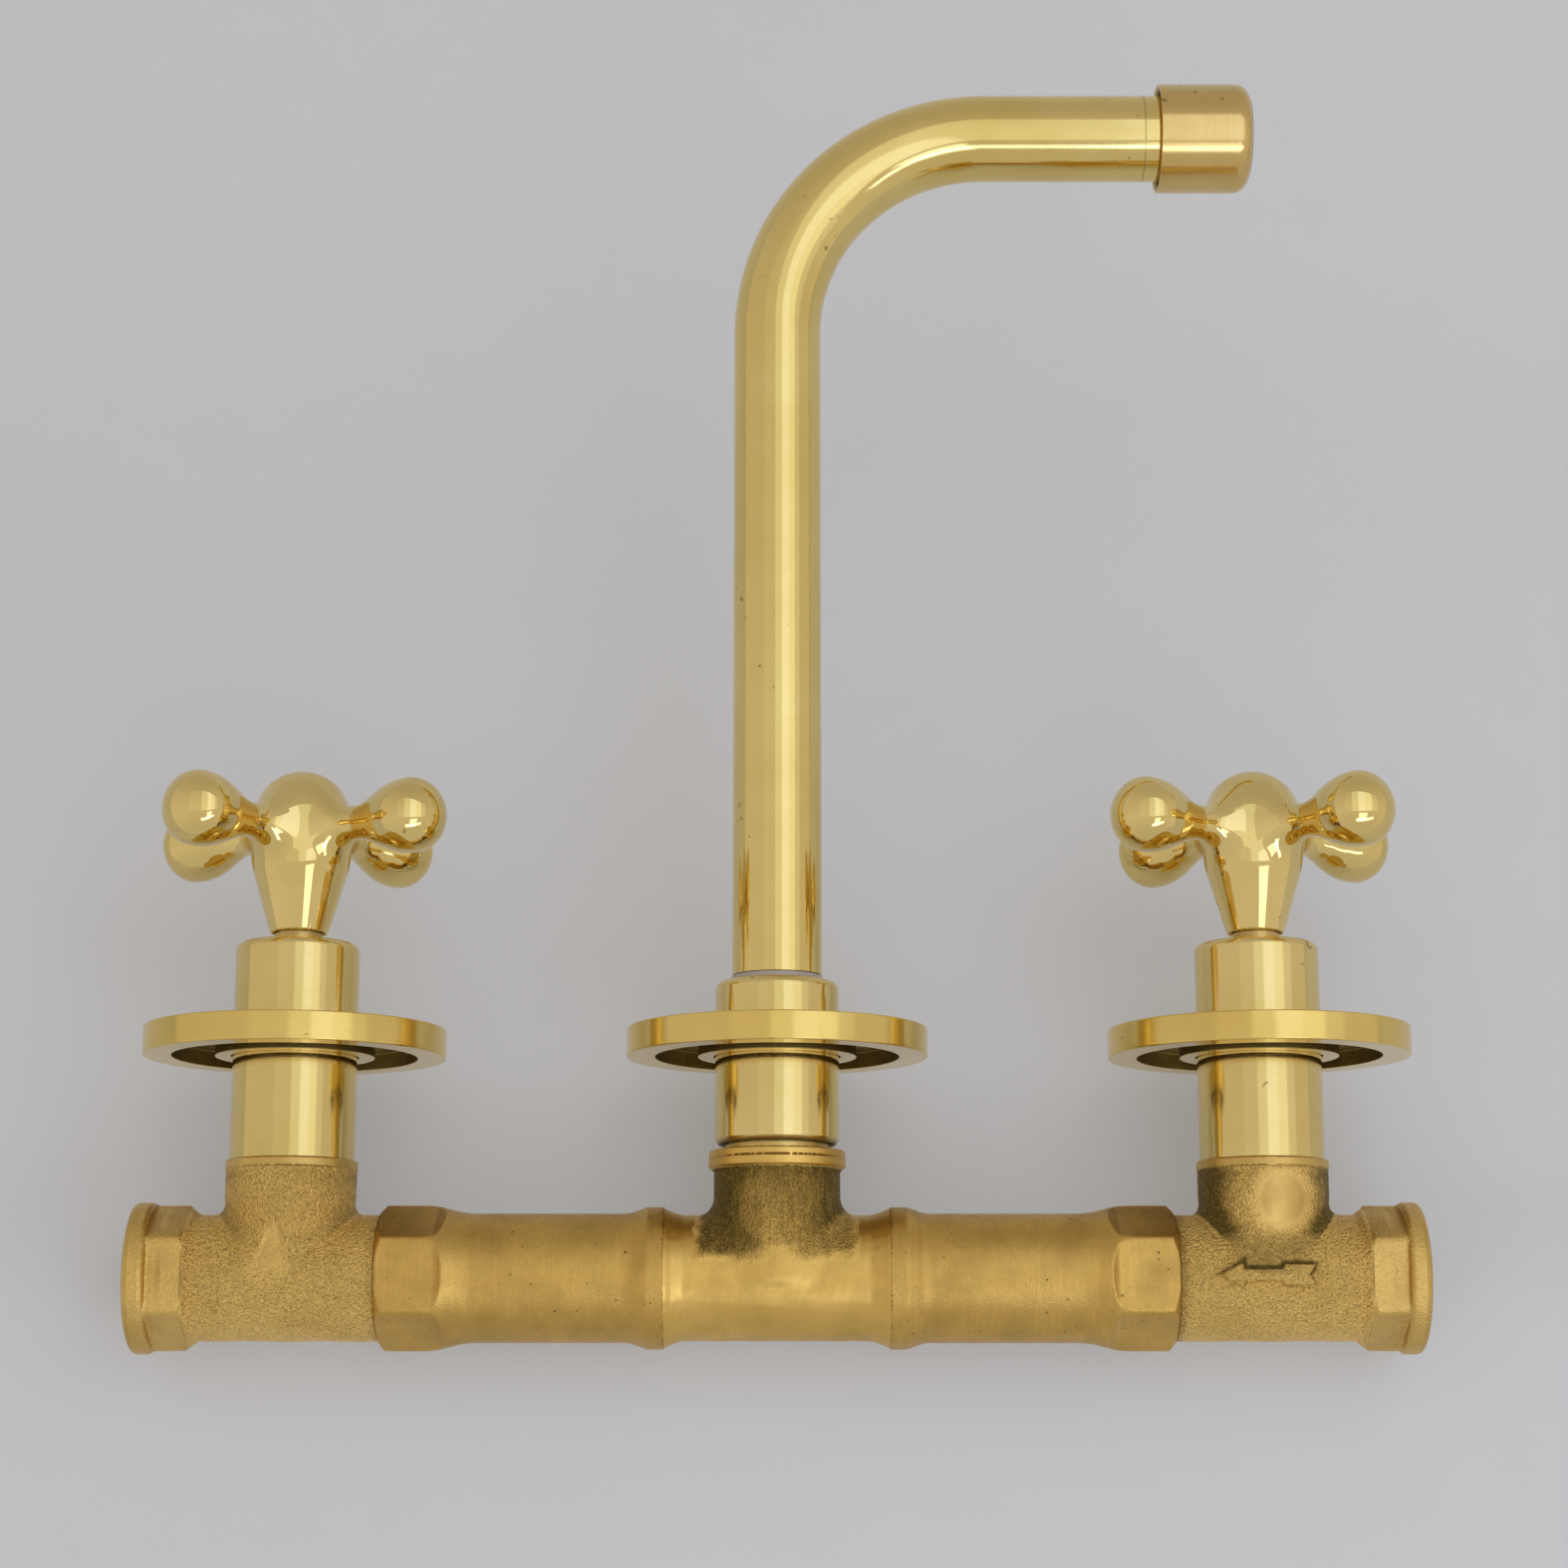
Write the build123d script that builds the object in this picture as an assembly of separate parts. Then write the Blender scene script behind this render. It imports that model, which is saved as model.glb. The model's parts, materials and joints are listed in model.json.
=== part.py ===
from build123d import *
import math
import os

# Wall-mounted three-hole faucet in solid brass, in millimetres.
# The wall face is the plane Y = 0. The room side is -Y, the inside of the wall is +Y, and +Z is up.
# The manifold, with its two valve bodies and its tee, lies along X behind the wall.
# Each stack on the manifold is modelled on its own axis, with height 0 on the manifold's axis and
# heights growing outwards, and is then turned to point at the room.
# Threads are plain cylinders here: a threaded bore has the thread's largest radius.

# Layout
valve_centres = 203.2
manifold_depth = 46.0

# Clearances
joint_gap = 0.05
shaft_gap = 0.08
seat_gap = 0.3
sleeve_gap = 0.3
thread_gap = 0.05

# Valve body
barrel_radius = 13.0
outlet_reach = 19.1
inlet_reach = 32.0
inlet_hex_across_flats = 26.6
inlet_hex_corner_radius = 15.0
inlet_hex_length = 7.6
inlet_hex_blend = 2.0
inlet_flange_radius = 15.6
inlet_flange_length = 4.4
pipe_thread_radius = 10.48
inlet_thread_depth = 15.0
waterway_radius = 5.0
neck_radius = 13.6
neck_root_radius = 12.2
neck_root_height = 6.0
neck_full_height = 17.0
neck_top = 24.2
neck_ring_radius = 13.75
neck_ring_height = 2.4
neck_blend = 3.5
spigot_radius = 11.7
spigot_top = 32.0
seat_height = 1.0
chamber_radius = 9.5
chamber_height = 16.0
arrow_tip = 10.7
arrow_tail = 8.2
arrow_relief = 0.8

# Union between valve body and connector
union_length = 11.5
union_bore_radius = 7.0
union_washer_thickness = 1.5

# Connector pipe
bell_start = 23.3
bell_radius = 14.65
bell_length = 4.0
bell_taper = 4.0
socket_depth = 9.0
socket_radius = 11.0
connector_radius = 13.3
connector_bore_radius = 8.0
connector_hex_across_flats = 26.4
connector_hex_corner_radius = 15.0
connector_hex_length = 8.6
connector_hex_taper = 8.6
connector_hex_chamfer = 1.7

# Tee
tee_radius = 12.95
tee_bead_radius = 14.4
tee_bead_length = 3.4
tee_neck_radius = 13.2
tee_neck_root_radius = 12.0
tee_ring_radius = 14.35
tee_ring_bottom = 22.7
tee_ring_top = 26.3
tee_bore_radius = 8.0
nipple_depth = 14.0

# Spout base
nipple_radius = 10.9
nipple_top = 48.0
nipple_bore_radius = 7.55
collar_bottom = 28.8
collar_top = 62.0
collar_lip = 3.5
bush_flange_radius = 9.75
bush_flange_height = 2.3
bush_wall = 0.7
tail_radius = 7.95
tail_bottom = 33.0
tail_bore_radius = 5.8
tail_tube_overlap = 9.5
snap_ring_width = 1.1
snap_ring_radius = 9.4
snap_ring_opening = 50.0

# Sleeves and escutcheons
sleeve_radius = 13.05
sleeve_wall = 1.3
valve_sleeve_top = 70.2
sleeve_lid = 3.5
sleeve_edge = 1.8
escutcheon_radius = 31.75
escutcheon_thickness = 6.0
escutcheon_boss_radius = 16.7
escutcheon_recess_radius = 25.7
escutcheon_recess_depth = 3.5
escutcheon_edge = 0.35
grip_ring_section = 1.6

# Spout tube and outlet
tube_radius = 9.5
tube_wall = 1.2
tube_rise = 0.3
spout_height = 252.2
bend_radius = 46.0
tube_reach = 81.5
adaptor_overlap = 7.5
adaptor_neck = 5.0
adaptor_thread_radius = 10.8
adaptor_thread_length = 7.5
adaptor_bore_radius = 6.8
outlet_washer_thickness = 1.5
outlet_washer_bore_radius = 7.4
cap_setback = 3.2
cap_length = 20.6
cap_radius = 12.0
cap_edge = 3.0
cap_lip_radius = 8.9
cap_lip_length = 2.6
insert_flange_thickness = 1.2
insert_radius = 9.9
grid_pitch = 2.4
grid_rib = 0.6
grid_depth = 1.6

# Cartridge
disc_radius = 7.8
fixed_disc_thickness = 3.0
moving_disc_thickness = 3.5
disc_port_inner = 2.4
disc_port_outer = 6.4
disc_port_angle = 84.0
seal_thickness = 1.6
seal_inner_radius = 5.2
seal_outer_radius = 6.8
shell_radius = 8.8
shell_bottom_gap = 0.6
window_height = 3.7
window_width = 7.0
lug_width = 3.0
lug_height = 2.0
shoulder_height = 15.2
friction_washer_thickness = 0.6
driver_flange_thickness = 1.8
driver_bar_width = 3.6
driver_slot_depth = 1.5
journal_radius = 5.0
cartridge_thread_bottom = 19.0
cartridge_flange_radius = 11.5
cartridge_flange_thickness = 1.5
cartridge_hex_across_flats = 18.0
cartridge_hex_height = 6.5
cartridge_top = 43.0
stop_crown_height = 1.6
quarter_turn = 90.0
stop_lug_angle = 36.0
stop_lug_radius = 6.6
stop_slack_angle = 3.0
spindle_ring_section = 1.5
spindle_ring_heights = (20.0, 25.0)
clip_thickness = 1.0
clip_radius = 6.3
spline_bottom = 46.2
spline_top = 54.5
spline_root_radius = 3.5
spline_tip_radius = 4.0
spline_teeth = 20

# Spindle extension, handle and its screws
extension_socket_radius = 6.4
extension_shoulder = 74.8
extension_tip_radius = 4.0
extension_top = 91.0
extension_flat = 0.8
extension_screw_radius = 2.0
extension_screw_depth = 6.0
screw_head_radius = 3.4
screw_head_height = 2.4
hub_bottom = 73.8
hub_bottom_radius = 6.0
hub_shoulder_drop = 6.7
hub_shoulder_radius = 10.6
hub_bulge = 0.35
dome_radius = 10.0
dome_rise = 12.8
hub_bore_clearance = 1.1
arm_height = 94.7
arm_radius = 2.85
arm_flare_radius = 5.0
arm_start = 5.0
arm_root_radius = 4.6
arm_root_start = 9.8
arm_root_end = 17.5
knob_centre = 31.3
knob_radius = 7.9
knob_end = 38.0
knob_edge_radius = 5.6
arm_count = 4
hot_handle_turn = 8.13
cold_handle_turn = 10.0
grub_height = 78.3
grub_radius = 1.5
grub_length = 2.6
grub_key_across_flats = 1.5

# Sizes that follow from the ones above
valve_offset = valve_centres / 2
seal_top = seat_height + seal_thickness
fixed_disc_top = seal_top + fixed_disc_thickness
moving_disc_top = fixed_disc_top + moving_disc_thickness
driver_flange_top = shoulder_height - friction_washer_thickness
driver_flange_bottom = driver_flange_top - driver_flange_thickness
sleeve_bore_radius = sleeve_radius - sleeve_wall
escutcheon_bore_radius = sleeve_radius + sleeve_gap
escutcheon_front = manifold_depth + escutcheon_thickness
grip_ring_height = manifold_depth + escutcheon_thickness / 2
bush_bore_radius = tail_radius + shaft_gap
bush_radius = bush_bore_radius + bush_wall
bush_top = collar_top + bush_flange_height
tube_start = bush_top + tube_rise
tail_step = nipple_top + 0.5
tube_bore_radius = tube_radius - tube_wall
leg_height = spout_height
cap_start = tube_reach + cap_setback
cap_end = cap_start + cap_length
adaptor_thread_start = tube_reach + adaptor_neck
adaptor_end = adaptor_thread_start + adaptor_thread_length
insert_start = adaptor_end + outlet_washer_thickness
hub_bore_radius = extension_tip_radius + joint_gap
hub_bore_top = extension_top + screw_head_height + hub_bore_clearance
hub_shoulder_height = arm_height - hub_shoulder_drop
dome_top = arm_height + dome_rise
knob_flare = math.sqrt((knob_radius + arm_flare_radius) ** 2 - (arm_radius + arm_flare_radius) ** 2)


def turned(outline, rounds=()):
    """A solid turned about Z from (radius, height) corners. rounds gives (corner, fillet radius) pairs."""
    face = make_face(Polyline(*outline, close=True))
    for corner, radius in rounds:
        vertex = face.vertices().sort_by_distance(Vector(*corner, 0))[0]
        face = fillet(vertex, radius)
    return revolve(Plane.XZ * face, Axis.Z)


def post(radius, bottom, top):
    """A round bar along Z between two heights."""
    return Pos(0, 0, bottom) * Cylinder(radius, top - bottom, align=(Align.CENTER, Align.CENTER, Align.MIN))


def ring(outer_radius, inner_radius, bottom, top):
    """A plain ring along Z between two heights."""
    return post(outer_radius, bottom, top) - post(inner_radius, bottom, top)


def hex_bar(across_flats, bottom, top, turn=0.0):
    """A hexagonal bar along Z between two heights."""
    outline = Rot(0, 0, turn) * RegularPolygon(across_flats / 2, 6, major_radius=False)
    return Pos(0, 0, bottom) * extrude(outline, top - bottom)


def sector(inner_radius, outer_radius, angle, middle, bottom, top):
    """A slice of a ring along Z, centred on the angle called middle."""
    start = middle - angle / 2
    inner_start = Vector(inner_radius, 0).rotate(Axis.Z, start)
    outer_start = Vector(outer_radius, 0).rotate(Axis.Z, start)
    inner_end = Vector(inner_radius, 0).rotate(Axis.Z, start + angle)
    outer_end = Vector(outer_radius, 0).rotate(Axis.Z, start + angle)
    outer_middle = Vector(outer_radius, 0).rotate(Axis.Z, middle)
    inner_middle = Vector(inner_radius, 0).rotate(Axis.Z, middle)
    edges = [
        Line(inner_start, outer_start),
        ThreePointArc(outer_start, outer_middle, outer_end),
        Line(outer_end, inner_end),
        ThreePointArc(inner_end, inner_middle, inner_start),
    ]
    return Pos(0, 0, bottom) * extrude(make_face(edges), top - bottom)


def o_ring(inner_radius, section, height):
    """A round-section rubber ring about Z."""
    return Pos(0, 0, height) * Torus(inner_radius + section / 2, section / 2)


def along_x(shape):
    """Lays a shape made along Z down along +X."""
    return Rot(0, 90, 0) * shape


def blended(shape, edges, radius):
    """Rounds the given edges of a shape."""
    return fillet(edges, radius)


def crossing_edges(shape):
    """The curves where two round bodies run into each other."""
    plain = (GeomType.LINE, GeomType.CIRCLE)
    return shape.edges().filter_by(lambda edge: edge.geom_type not in plain)


def flow_arrow():
    """The outline of the cast arrow, pointing along -X, on the plane of the stack's axis."""
    head = 4.2
    head_half_width = 2.3
    shaft_half_width = 1.0
    fletch = 6.7
    fletch_half_width = 1.95
    notch = 1.3
    upper = [
        (head - arrow_tip, head_half_width),
        (head - arrow_tip, shaft_half_width),
        (arrow_tail - fletch, shaft_half_width),
        (arrow_tail - fletch + 0.5, fletch_half_width),
        (arrow_tail, fletch_half_width),
    ]
    lower = [(x, -z) for x, z in reversed(upper)]
    return make_face(Polyline((-arrow_tip, 0), *upper, (arrow_tail - notch, 0), *lower, close=True))


def valve_body():
    """The cast body: a barrel along X with its inlet at +X, and a neck along Z that holds the cartridge."""
    hex_end = inlet_reach - inlet_flange_length
    hex_start = hex_end - inlet_hex_length
    blend_start = hex_start - inlet_hex_blend
    barrel = turned(
        [
            (0, -outlet_reach),
            (barrel_radius, -outlet_reach),
            (barrel_radius, blend_start),
            (inlet_hex_corner_radius, hex_start),
            (inlet_hex_corner_radius, hex_end),
            (inlet_flange_radius, hex_end + 0.2),
            (inlet_flange_radius, inlet_reach),
            (0, inlet_reach),
        ],
        [
            ((barrel_radius, blend_start), 2.0),
            ((inlet_hex_corner_radius, hex_start), 1.0),
            ((inlet_flange_radius, inlet_reach), 1.3),
        ],
    )
    flats = post(2 * inlet_flange_radius, blend_start - 1, hex_end)
    flats -= hex_bar(inlet_hex_across_flats, blend_start - 1, hex_end, 30.0)
    barrel = along_x(barrel - flats)
    neck = turned(
        [
            (0, 0),
            (neck_root_radius, 0),
            (neck_root_radius, neck_root_height),
            (neck_radius, neck_full_height),
            (neck_radius, neck_top),
            (0, neck_top),
        ]
    )
    joined = barrel + Rot(0, 0, 45) * neck
    near_neck = [e for e in crossing_edges(joined) if abs(e.center().X) < neck_radius + 1]
    body = blended(joined, near_neck, min(neck_blend, blend_start - neck_radius - 0.5))
    ring_bottom = neck_top - neck_ring_height
    body += turned(
        [
            (0, ring_bottom),
            (neck_ring_radius, ring_bottom),
            (neck_ring_radius, neck_top),
            (spigot_radius, neck_top),
            (spigot_radius, spigot_top),
            (0, spigot_top),
        ],
        [((neck_ring_radius, neck_top), 0.4)],
    )
    spigot = turned(
        [
            (0, -outlet_reach),
            (pipe_thread_radius, -outlet_reach),
            (pipe_thread_radius, -outlet_reach - union_length),
            (0, -outlet_reach - union_length),
        ],
        [((pipe_thread_radius, -outlet_reach - union_length), 0.8)],
    )
    body += along_x(spigot)
    arrow_slab = extrude(Plane.XZ * flow_arrow(), 2 * barrel_radius)
    body += arrow_slab & along_x(post(barrel_radius + arrow_relief, -outlet_reach, inlet_reach))
    return body - valve_waterways()


def valve_waterways():
    """Everything cut out of the valve body: inlet thread, way under the seat, chamber and outlet."""
    thread_end = inlet_reach - inlet_thread_depth
    inlet_centre = seat_height - 2.0 - waterway_radius
    outlet_centre = seat_height + waterway_radius - 0.5
    cut = along_x(post(pipe_thread_radius, thread_end, inlet_reach))
    cut += Pos(0, 0, inlet_centre) * along_x(post(waterway_radius, 0, thread_end))
    cut += Pos(0, 0, inlet_centre) * Sphere(waterway_radius)
    cut += post(waterway_radius, inlet_centre, seat_height)
    cut += post(chamber_radius, seat_height, chamber_height)
    cut += post(pipe_thread_radius, chamber_height, spigot_top)
    cut += Pos(0, 0, outlet_centre) * along_x(post(waterway_radius, -outlet_reach, 0))
    cut += along_x(post(union_bore_radius, -outlet_reach - union_length, 3 - outlet_reach))
    return cut


def union_washer():
    """The flat washer between the valve body's spigot and the shoulder in the connector, along X."""
    end = -outlet_reach - union_length
    return along_x(ring(pipe_thread_radius, union_bore_radius, end - union_washer_thickness, end))


def connector():
    """The pipe from the tee to the valve body, along +X from the tee: a bell, a pipe and a hexagon."""
    hex_end = valve_offset - outlet_reach
    hex_start = hex_end - connector_hex_length
    taper_start = hex_start - connector_hex_taper
    bell_end = bell_start + bell_length
    pipe_start = bell_end + bell_taper
    chamfer_radius = connector_hex_corner_radius - connector_hex_chamfer
    outside = turned(
        [
            (0, bell_start),
            (bell_radius, bell_start),
            (bell_radius, bell_end),
            (connector_radius, pipe_start),
            (connector_radius, taper_start),
            (connector_hex_corner_radius, hex_start),
            (connector_hex_corner_radius, hex_end - connector_hex_chamfer),
            (chamfer_radius, hex_end),
            (0, hex_end),
        ],
        [
            ((bell_radius, bell_end), 4.0),
            ((connector_radius, pipe_start), 6.0),
            ((connector_radius, taper_start), 12.0),
            ((connector_hex_corner_radius, hex_start), 12.0),
            ((bell_radius, bell_start), 0.4),
        ],
    )
    flats = post(2 * connector_hex_corner_radius, taper_start, hex_end)
    flats -= hex_bar(connector_hex_across_flats, taper_start, hex_end, 30.0)
    shoulder = hex_end - union_length - union_washer_thickness
    hollow = post(connector_bore_radius, bell_start, hex_end)
    hollow += post(socket_radius + thread_gap, bell_start, bell_start + socket_depth + seat_gap)
    hollow += post(pipe_thread_radius + thread_gap, shoulder, hex_end)
    return along_x(outside - flats - hollow)


def tee():
    """The cast tee: a barrel along X that plugs into both connectors, and a neck with a turned ring."""
    bead_start = bell_start - tee_bead_length
    end = bell_start + socket_depth
    barrel = turned(
        [
            (0, -end),
            (socket_radius, -end),
            (socket_radius, -bell_start),
            (tee_bead_radius, -bell_start),
            (tee_radius, -bead_start),
            (tee_radius, bead_start),
            (tee_bead_radius, bell_start),
            (socket_radius, bell_start),
            (socket_radius, end),
            (0, end),
        ],
        [
            ((tee_radius, -bead_start), 3.0),
            ((tee_bead_radius, -bell_start), 0.3),
            ((tee_radius, bead_start), 3.0),
            ((tee_bead_radius, bell_start), 0.3),
        ],
    )
    neck = turned(
        [
            (0, 0),
            (tee_neck_root_radius, 0),
            (tee_neck_root_radius, neck_root_height),
            (tee_neck_radius, neck_full_height),
            (tee_neck_radius, tee_ring_bottom),
            (0, tee_ring_bottom),
        ]
    )
    joined = along_x(barrel) + Rot(0, 0, 45) * neck
    body = blended(joined, crossing_edges(joined), neck_blend)
    step = (tee_ring_radius + tee_neck_radius) / 2
    body += turned(
        [
            (0, tee_ring_bottom - 1.0),
            (tee_neck_radius, tee_ring_bottom - 1.0),
            (step, tee_ring_bottom),
            (tee_ring_radius, tee_ring_bottom),
            (tee_ring_radius, tee_ring_top),
            (0, tee_ring_top),
        ],
        [((tee_ring_radius, tee_ring_top), 0.5)],
    )
    body -= along_x(post(tee_bore_radius, -end, end))
    body -= post(tee_bore_radius, 0, nipple_depth)
    body -= post(nipple_radius + thread_gap, nipple_depth, tee_ring_top)
    return body


def valve_sleeve():
    """The polished sleeve that hides the cartridge: a tube with a lid that the spindle passes through."""
    stem_hole = journal_radius + shaft_gap
    return turned(
        [
            (sleeve_bore_radius, neck_top),
            (sleeve_radius, neck_top),
            (sleeve_radius, valve_sleeve_top),
            (stem_hole, valve_sleeve_top),
            (stem_hole, valve_sleeve_top - sleeve_lid),
            (sleeve_bore_radius, valve_sleeve_top - sleeve_lid),
        ],
        [((sleeve_radius, valve_sleeve_top), sleeve_edge)],
    )


def spout_collar():
    """The collar nut on the nipple: its lip holds the bush and the snap ring of the spout."""
    bore = nipple_radius + thread_gap
    mouth = sleeve_radius - bore - 0.3
    return turned(
        [
            (bore, collar_bottom + mouth),
            (sleeve_radius - 0.3, collar_bottom),
            (sleeve_radius, collar_bottom),
            (sleeve_radius, collar_top),
            (bush_radius, collar_top),
            (bush_radius, collar_top - collar_lip),
            (bore, collar_top - collar_lip),
        ],
        [((sleeve_radius, collar_top), sleeve_edge)],
    )


def spout_nipple():
    """The threaded pipe between tee and collar, bored for the O-rings of the spout."""
    return turned(
        [
            (nipple_bore_radius, nipple_depth),
            (nipple_radius, nipple_depth),
            (nipple_radius, nipple_top),
            (nipple_bore_radius, nipple_top),
        ],
        [((nipple_radius, nipple_top), 0.6)],
    )


def spout_bush():
    """The flanged plastic bush in the collar's lip."""
    return turned(
        [
            (bush_bore_radius, collar_top - collar_lip),
            (bush_radius, collar_top - collar_lip),
            (bush_radius, collar_top),
            (bush_flange_radius, collar_top),
            (bush_flange_radius, bush_top),
            (bush_bore_radius, bush_top),
        ],
        [((bush_flange_radius, bush_top), 0.4)],
    )


def thrust_washer():
    """The plastic washer between the collar's lip and the snap ring."""
    top = collar_top - collar_lip
    return ring(nipple_radius - seat_gap, tail_radius + shaft_gap, top - snap_ring_width, top)


def snap_ring_bottom():
    """The height of the lower face of the spout's snap ring."""
    return collar_top - collar_lip - 2 * snap_ring_width - joint_gap


def snap_ring():
    """The open spring ring that holds the spout in its collar."""
    bottom = snap_ring_bottom()
    whole = ring(snap_ring_radius, tail_radius - 0.7, bottom, bottom + snap_ring_width)
    gap = sector(tail_radius - 2, snap_ring_radius + 2, snap_ring_opening, 90, bottom - 1, bottom + 3)
    return whole - gap


def tail_ring_heights():
    """The heights of the two O-rings on the spout's tail."""
    middle = (tail_bottom + tail_step) / 2
    return (middle - 2.5, middle + 2.5)


def tail_groove_floor():
    """The radius at the bottom of the O-ring grooves on the spout's tail."""
    return nipple_bore_radius - joint_gap - spindle_ring_section


def spout_tail():
    """The turned tail brazed into the tube: it turns in the bush and seals in the nipple."""
    seal_radius = nipple_bore_radius - joint_gap
    outline = [
        (tail_bore_radius, tail_bottom),
        (seal_radius, tail_bottom),
        (seal_radius, tail_step),
        (tail_radius, tail_step),
        (tail_radius, tube_start),
        (tube_bore_radius - joint_gap, tube_start),
        (tube_bore_radius - joint_gap, tube_start + tail_tube_overlap),
        (tail_bore_radius, tube_start + tail_tube_overlap),
    ]
    tail = turned(outline, [((seal_radius, tail_bottom), 0.5)])
    half_groove = spindle_ring_section / 2 + joint_gap
    for height in tail_ring_heights():
        floor = tail_groove_floor() - joint_gap
        tail -= ring(tail_radius + 1, floor, height - half_groove, height + half_groove)
    bottom = snap_ring_bottom()
    top = bottom + snap_ring_width
    tail -= ring(tail_radius + 1, tail_radius - 0.75, bottom - joint_gap, top + joint_gap)
    return tail


def tail_o_rings():
    """The two O-rings on the spout's tail."""
    return [o_ring(tail_groove_floor(), spindle_ring_section, height) for height in tail_ring_heights()]


def escutcheon():
    """The round wall plate: a disc with a ring-shaped recess in its back and a boss round the sleeve."""
    back = manifold_depth
    plate = turned(
        [
            (escutcheon_bore_radius, back),
            (escutcheon_boss_radius, back),
            (escutcheon_boss_radius, back + escutcheon_recess_depth),
            (escutcheon_recess_radius, back + escutcheon_recess_depth),
            (escutcheon_recess_radius, back),
            (escutcheon_radius, back),
            (escutcheon_radius, escutcheon_front),
            (escutcheon_bore_radius, escutcheon_front),
        ],
        [
            ((escutcheon_radius, escutcheon_front), escutcheon_edge),
            ((escutcheon_radius, back), escutcheon_edge),
            ((escutcheon_bore_radius, escutcheon_front), 0.3),
            ((escutcheon_bore_radius, back), 0.3),
        ],
    )
    floor = sleeve_radius + joint_gap + grip_ring_section + joint_gap
    half_groove = grip_ring_section / 2 + joint_gap
    plate -= ring(floor, sleeve_radius, grip_ring_height - half_groove, grip_ring_height + half_groove)
    return plate


def grip_ring():
    """The O-ring in the escutcheon's bore, which grips the sleeve."""
    return o_ring(sleeve_radius + joint_gap, grip_ring_section, grip_ring_height)


def seat_seal():
    """The rubber seal under the fixed disc."""
    return ring(seal_outer_radius, seal_inner_radius, seat_height, seal_top)


def ceramic_disc(bottom, top, middle):
    """A ceramic disc with two water ports a half turn apart."""
    disc = post(disc_radius, bottom, top)
    for turn in (0, 180):
        disc -= sector(disc_port_inner, disc_port_outer, disc_port_angle, middle + turn, bottom - 1, top + 1)
    return disc


def fixed_disc():
    """The lower disc, with two lugs that key it into the shell."""
    disc = ceramic_disc(seal_top, fixed_disc_top, 90)
    lug_reach = shell_radius - joint_gap
    lugs = Pos(0, 0, seal_top + lug_height / 2) * Box(2 * lug_reach, lug_width, lug_height)
    disc += lugs & ring(lug_reach, disc_radius - 1, seal_top, seal_top + lug_height)
    return disc


def moving_disc():
    """The upper disc, closed at rest, with a slot across its top for the driver."""
    disc = ceramic_disc(fixed_disc_top, moving_disc_top, 0)
    slot_width = driver_bar_width + 2 * joint_gap
    slot = Box(slot_width, 3 * disc_radius, 2 * driver_slot_depth)
    return disc - Pos(0, 0, moving_disc_top) * slot


def disc_bore_radius():
    """The radius of the shell's bore round the discs and the driver's flange."""
    return disc_radius + shaft_gap


def cartridge():
    """The brass shell screwed into the valve body: it holds the discs and guides the spindle."""
    bottom = seat_height + shell_bottom_gap
    thread_radius = pipe_thread_radius - thread_gap
    flange_top = spigot_top + cartridge_flange_thickness
    hex_top = flange_top + cartridge_hex_height
    shell = turned(
        [
            (0, bottom),
            (shell_radius, bottom),
            (shell_radius, cartridge_thread_bottom),
            (thread_radius, cartridge_thread_bottom),
            (thread_radius, spigot_top),
            (cartridge_flange_radius, spigot_top),
            (cartridge_flange_radius, flange_top),
            (stop_lug_radius, flange_top),
            (stop_lug_radius, cartridge_top),
            (0, cartridge_top),
        ],
        [((thread_radius, cartridge_thread_bottom), 0.8)],
    )
    shell += hex_bar(cartridge_hex_across_flats, flange_top, hex_top)
    shell -= post(disc_bore_radius(), bottom, shoulder_height)
    shell -= post(journal_radius + joint_gap, shoulder_height, cartridge_top)
    slot_height = seal_top + lug_height - bottom + joint_gap
    slots = Box(3 * shell_radius, lug_width + 2 * joint_gap, slot_height)
    shell -= Pos(0, 0, bottom + slot_height / 2) * slots & ring(20, disc_radius - 1, bottom, cartridge_top)
    window_middle = moving_disc_top + window_height / 2
    for turn in (0, 90):
        window = Box(3 * shell_radius, window_width, window_height)
        shell -= Rot(0, 0, turn) * Pos(0, 0, window_middle) * window
    groove_floor = pipe_thread_radius - joint_gap - spindle_ring_section / 2
    shell -= ring(pipe_thread_radius + 1, groove_floor - 0.2, spigot_top - 1.8, spigot_top - 0.8)
    return shell + stop_crown()


def stop_crown():
    """The raised edge on the cartridge, with a gap that lets the spindle's lug turn a quarter turn."""
    opening = quarter_turn + stop_lug_angle + 2 * stop_slack_angle
    bottom = cartridge_top
    inner = journal_radius + joint_gap
    return sector(inner, stop_lug_radius, 360 - opening, 180, bottom, bottom + stop_crown_height)


def cartridge_o_ring():
    """The O-ring under the cartridge's flange."""
    section = 0.8
    return o_ring(pipe_thread_radius - joint_gap - section, section, spigot_top - 1.3)


def friction_washer():
    """The slip washer between the spindle's flange and the shell's shoulder."""
    return ring(disc_radius, journal_radius + shaft_gap, driver_flange_top, shoulder_height)


def spline_outline(root_radius, tip_radius):
    """A many-toothed star, as on a spindle's end."""
    points = []
    for tooth in range(spline_teeth):
        for radius, place in ((root_radius, 0.0), (tip_radius, 0.35), (tip_radius, 0.65)):
            angle = 2 * math.pi * (tooth + place) / spline_teeth
            points.append((radius * math.cos(angle), radius * math.sin(angle)))
    return make_face(Polyline(*points, close=True))


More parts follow.
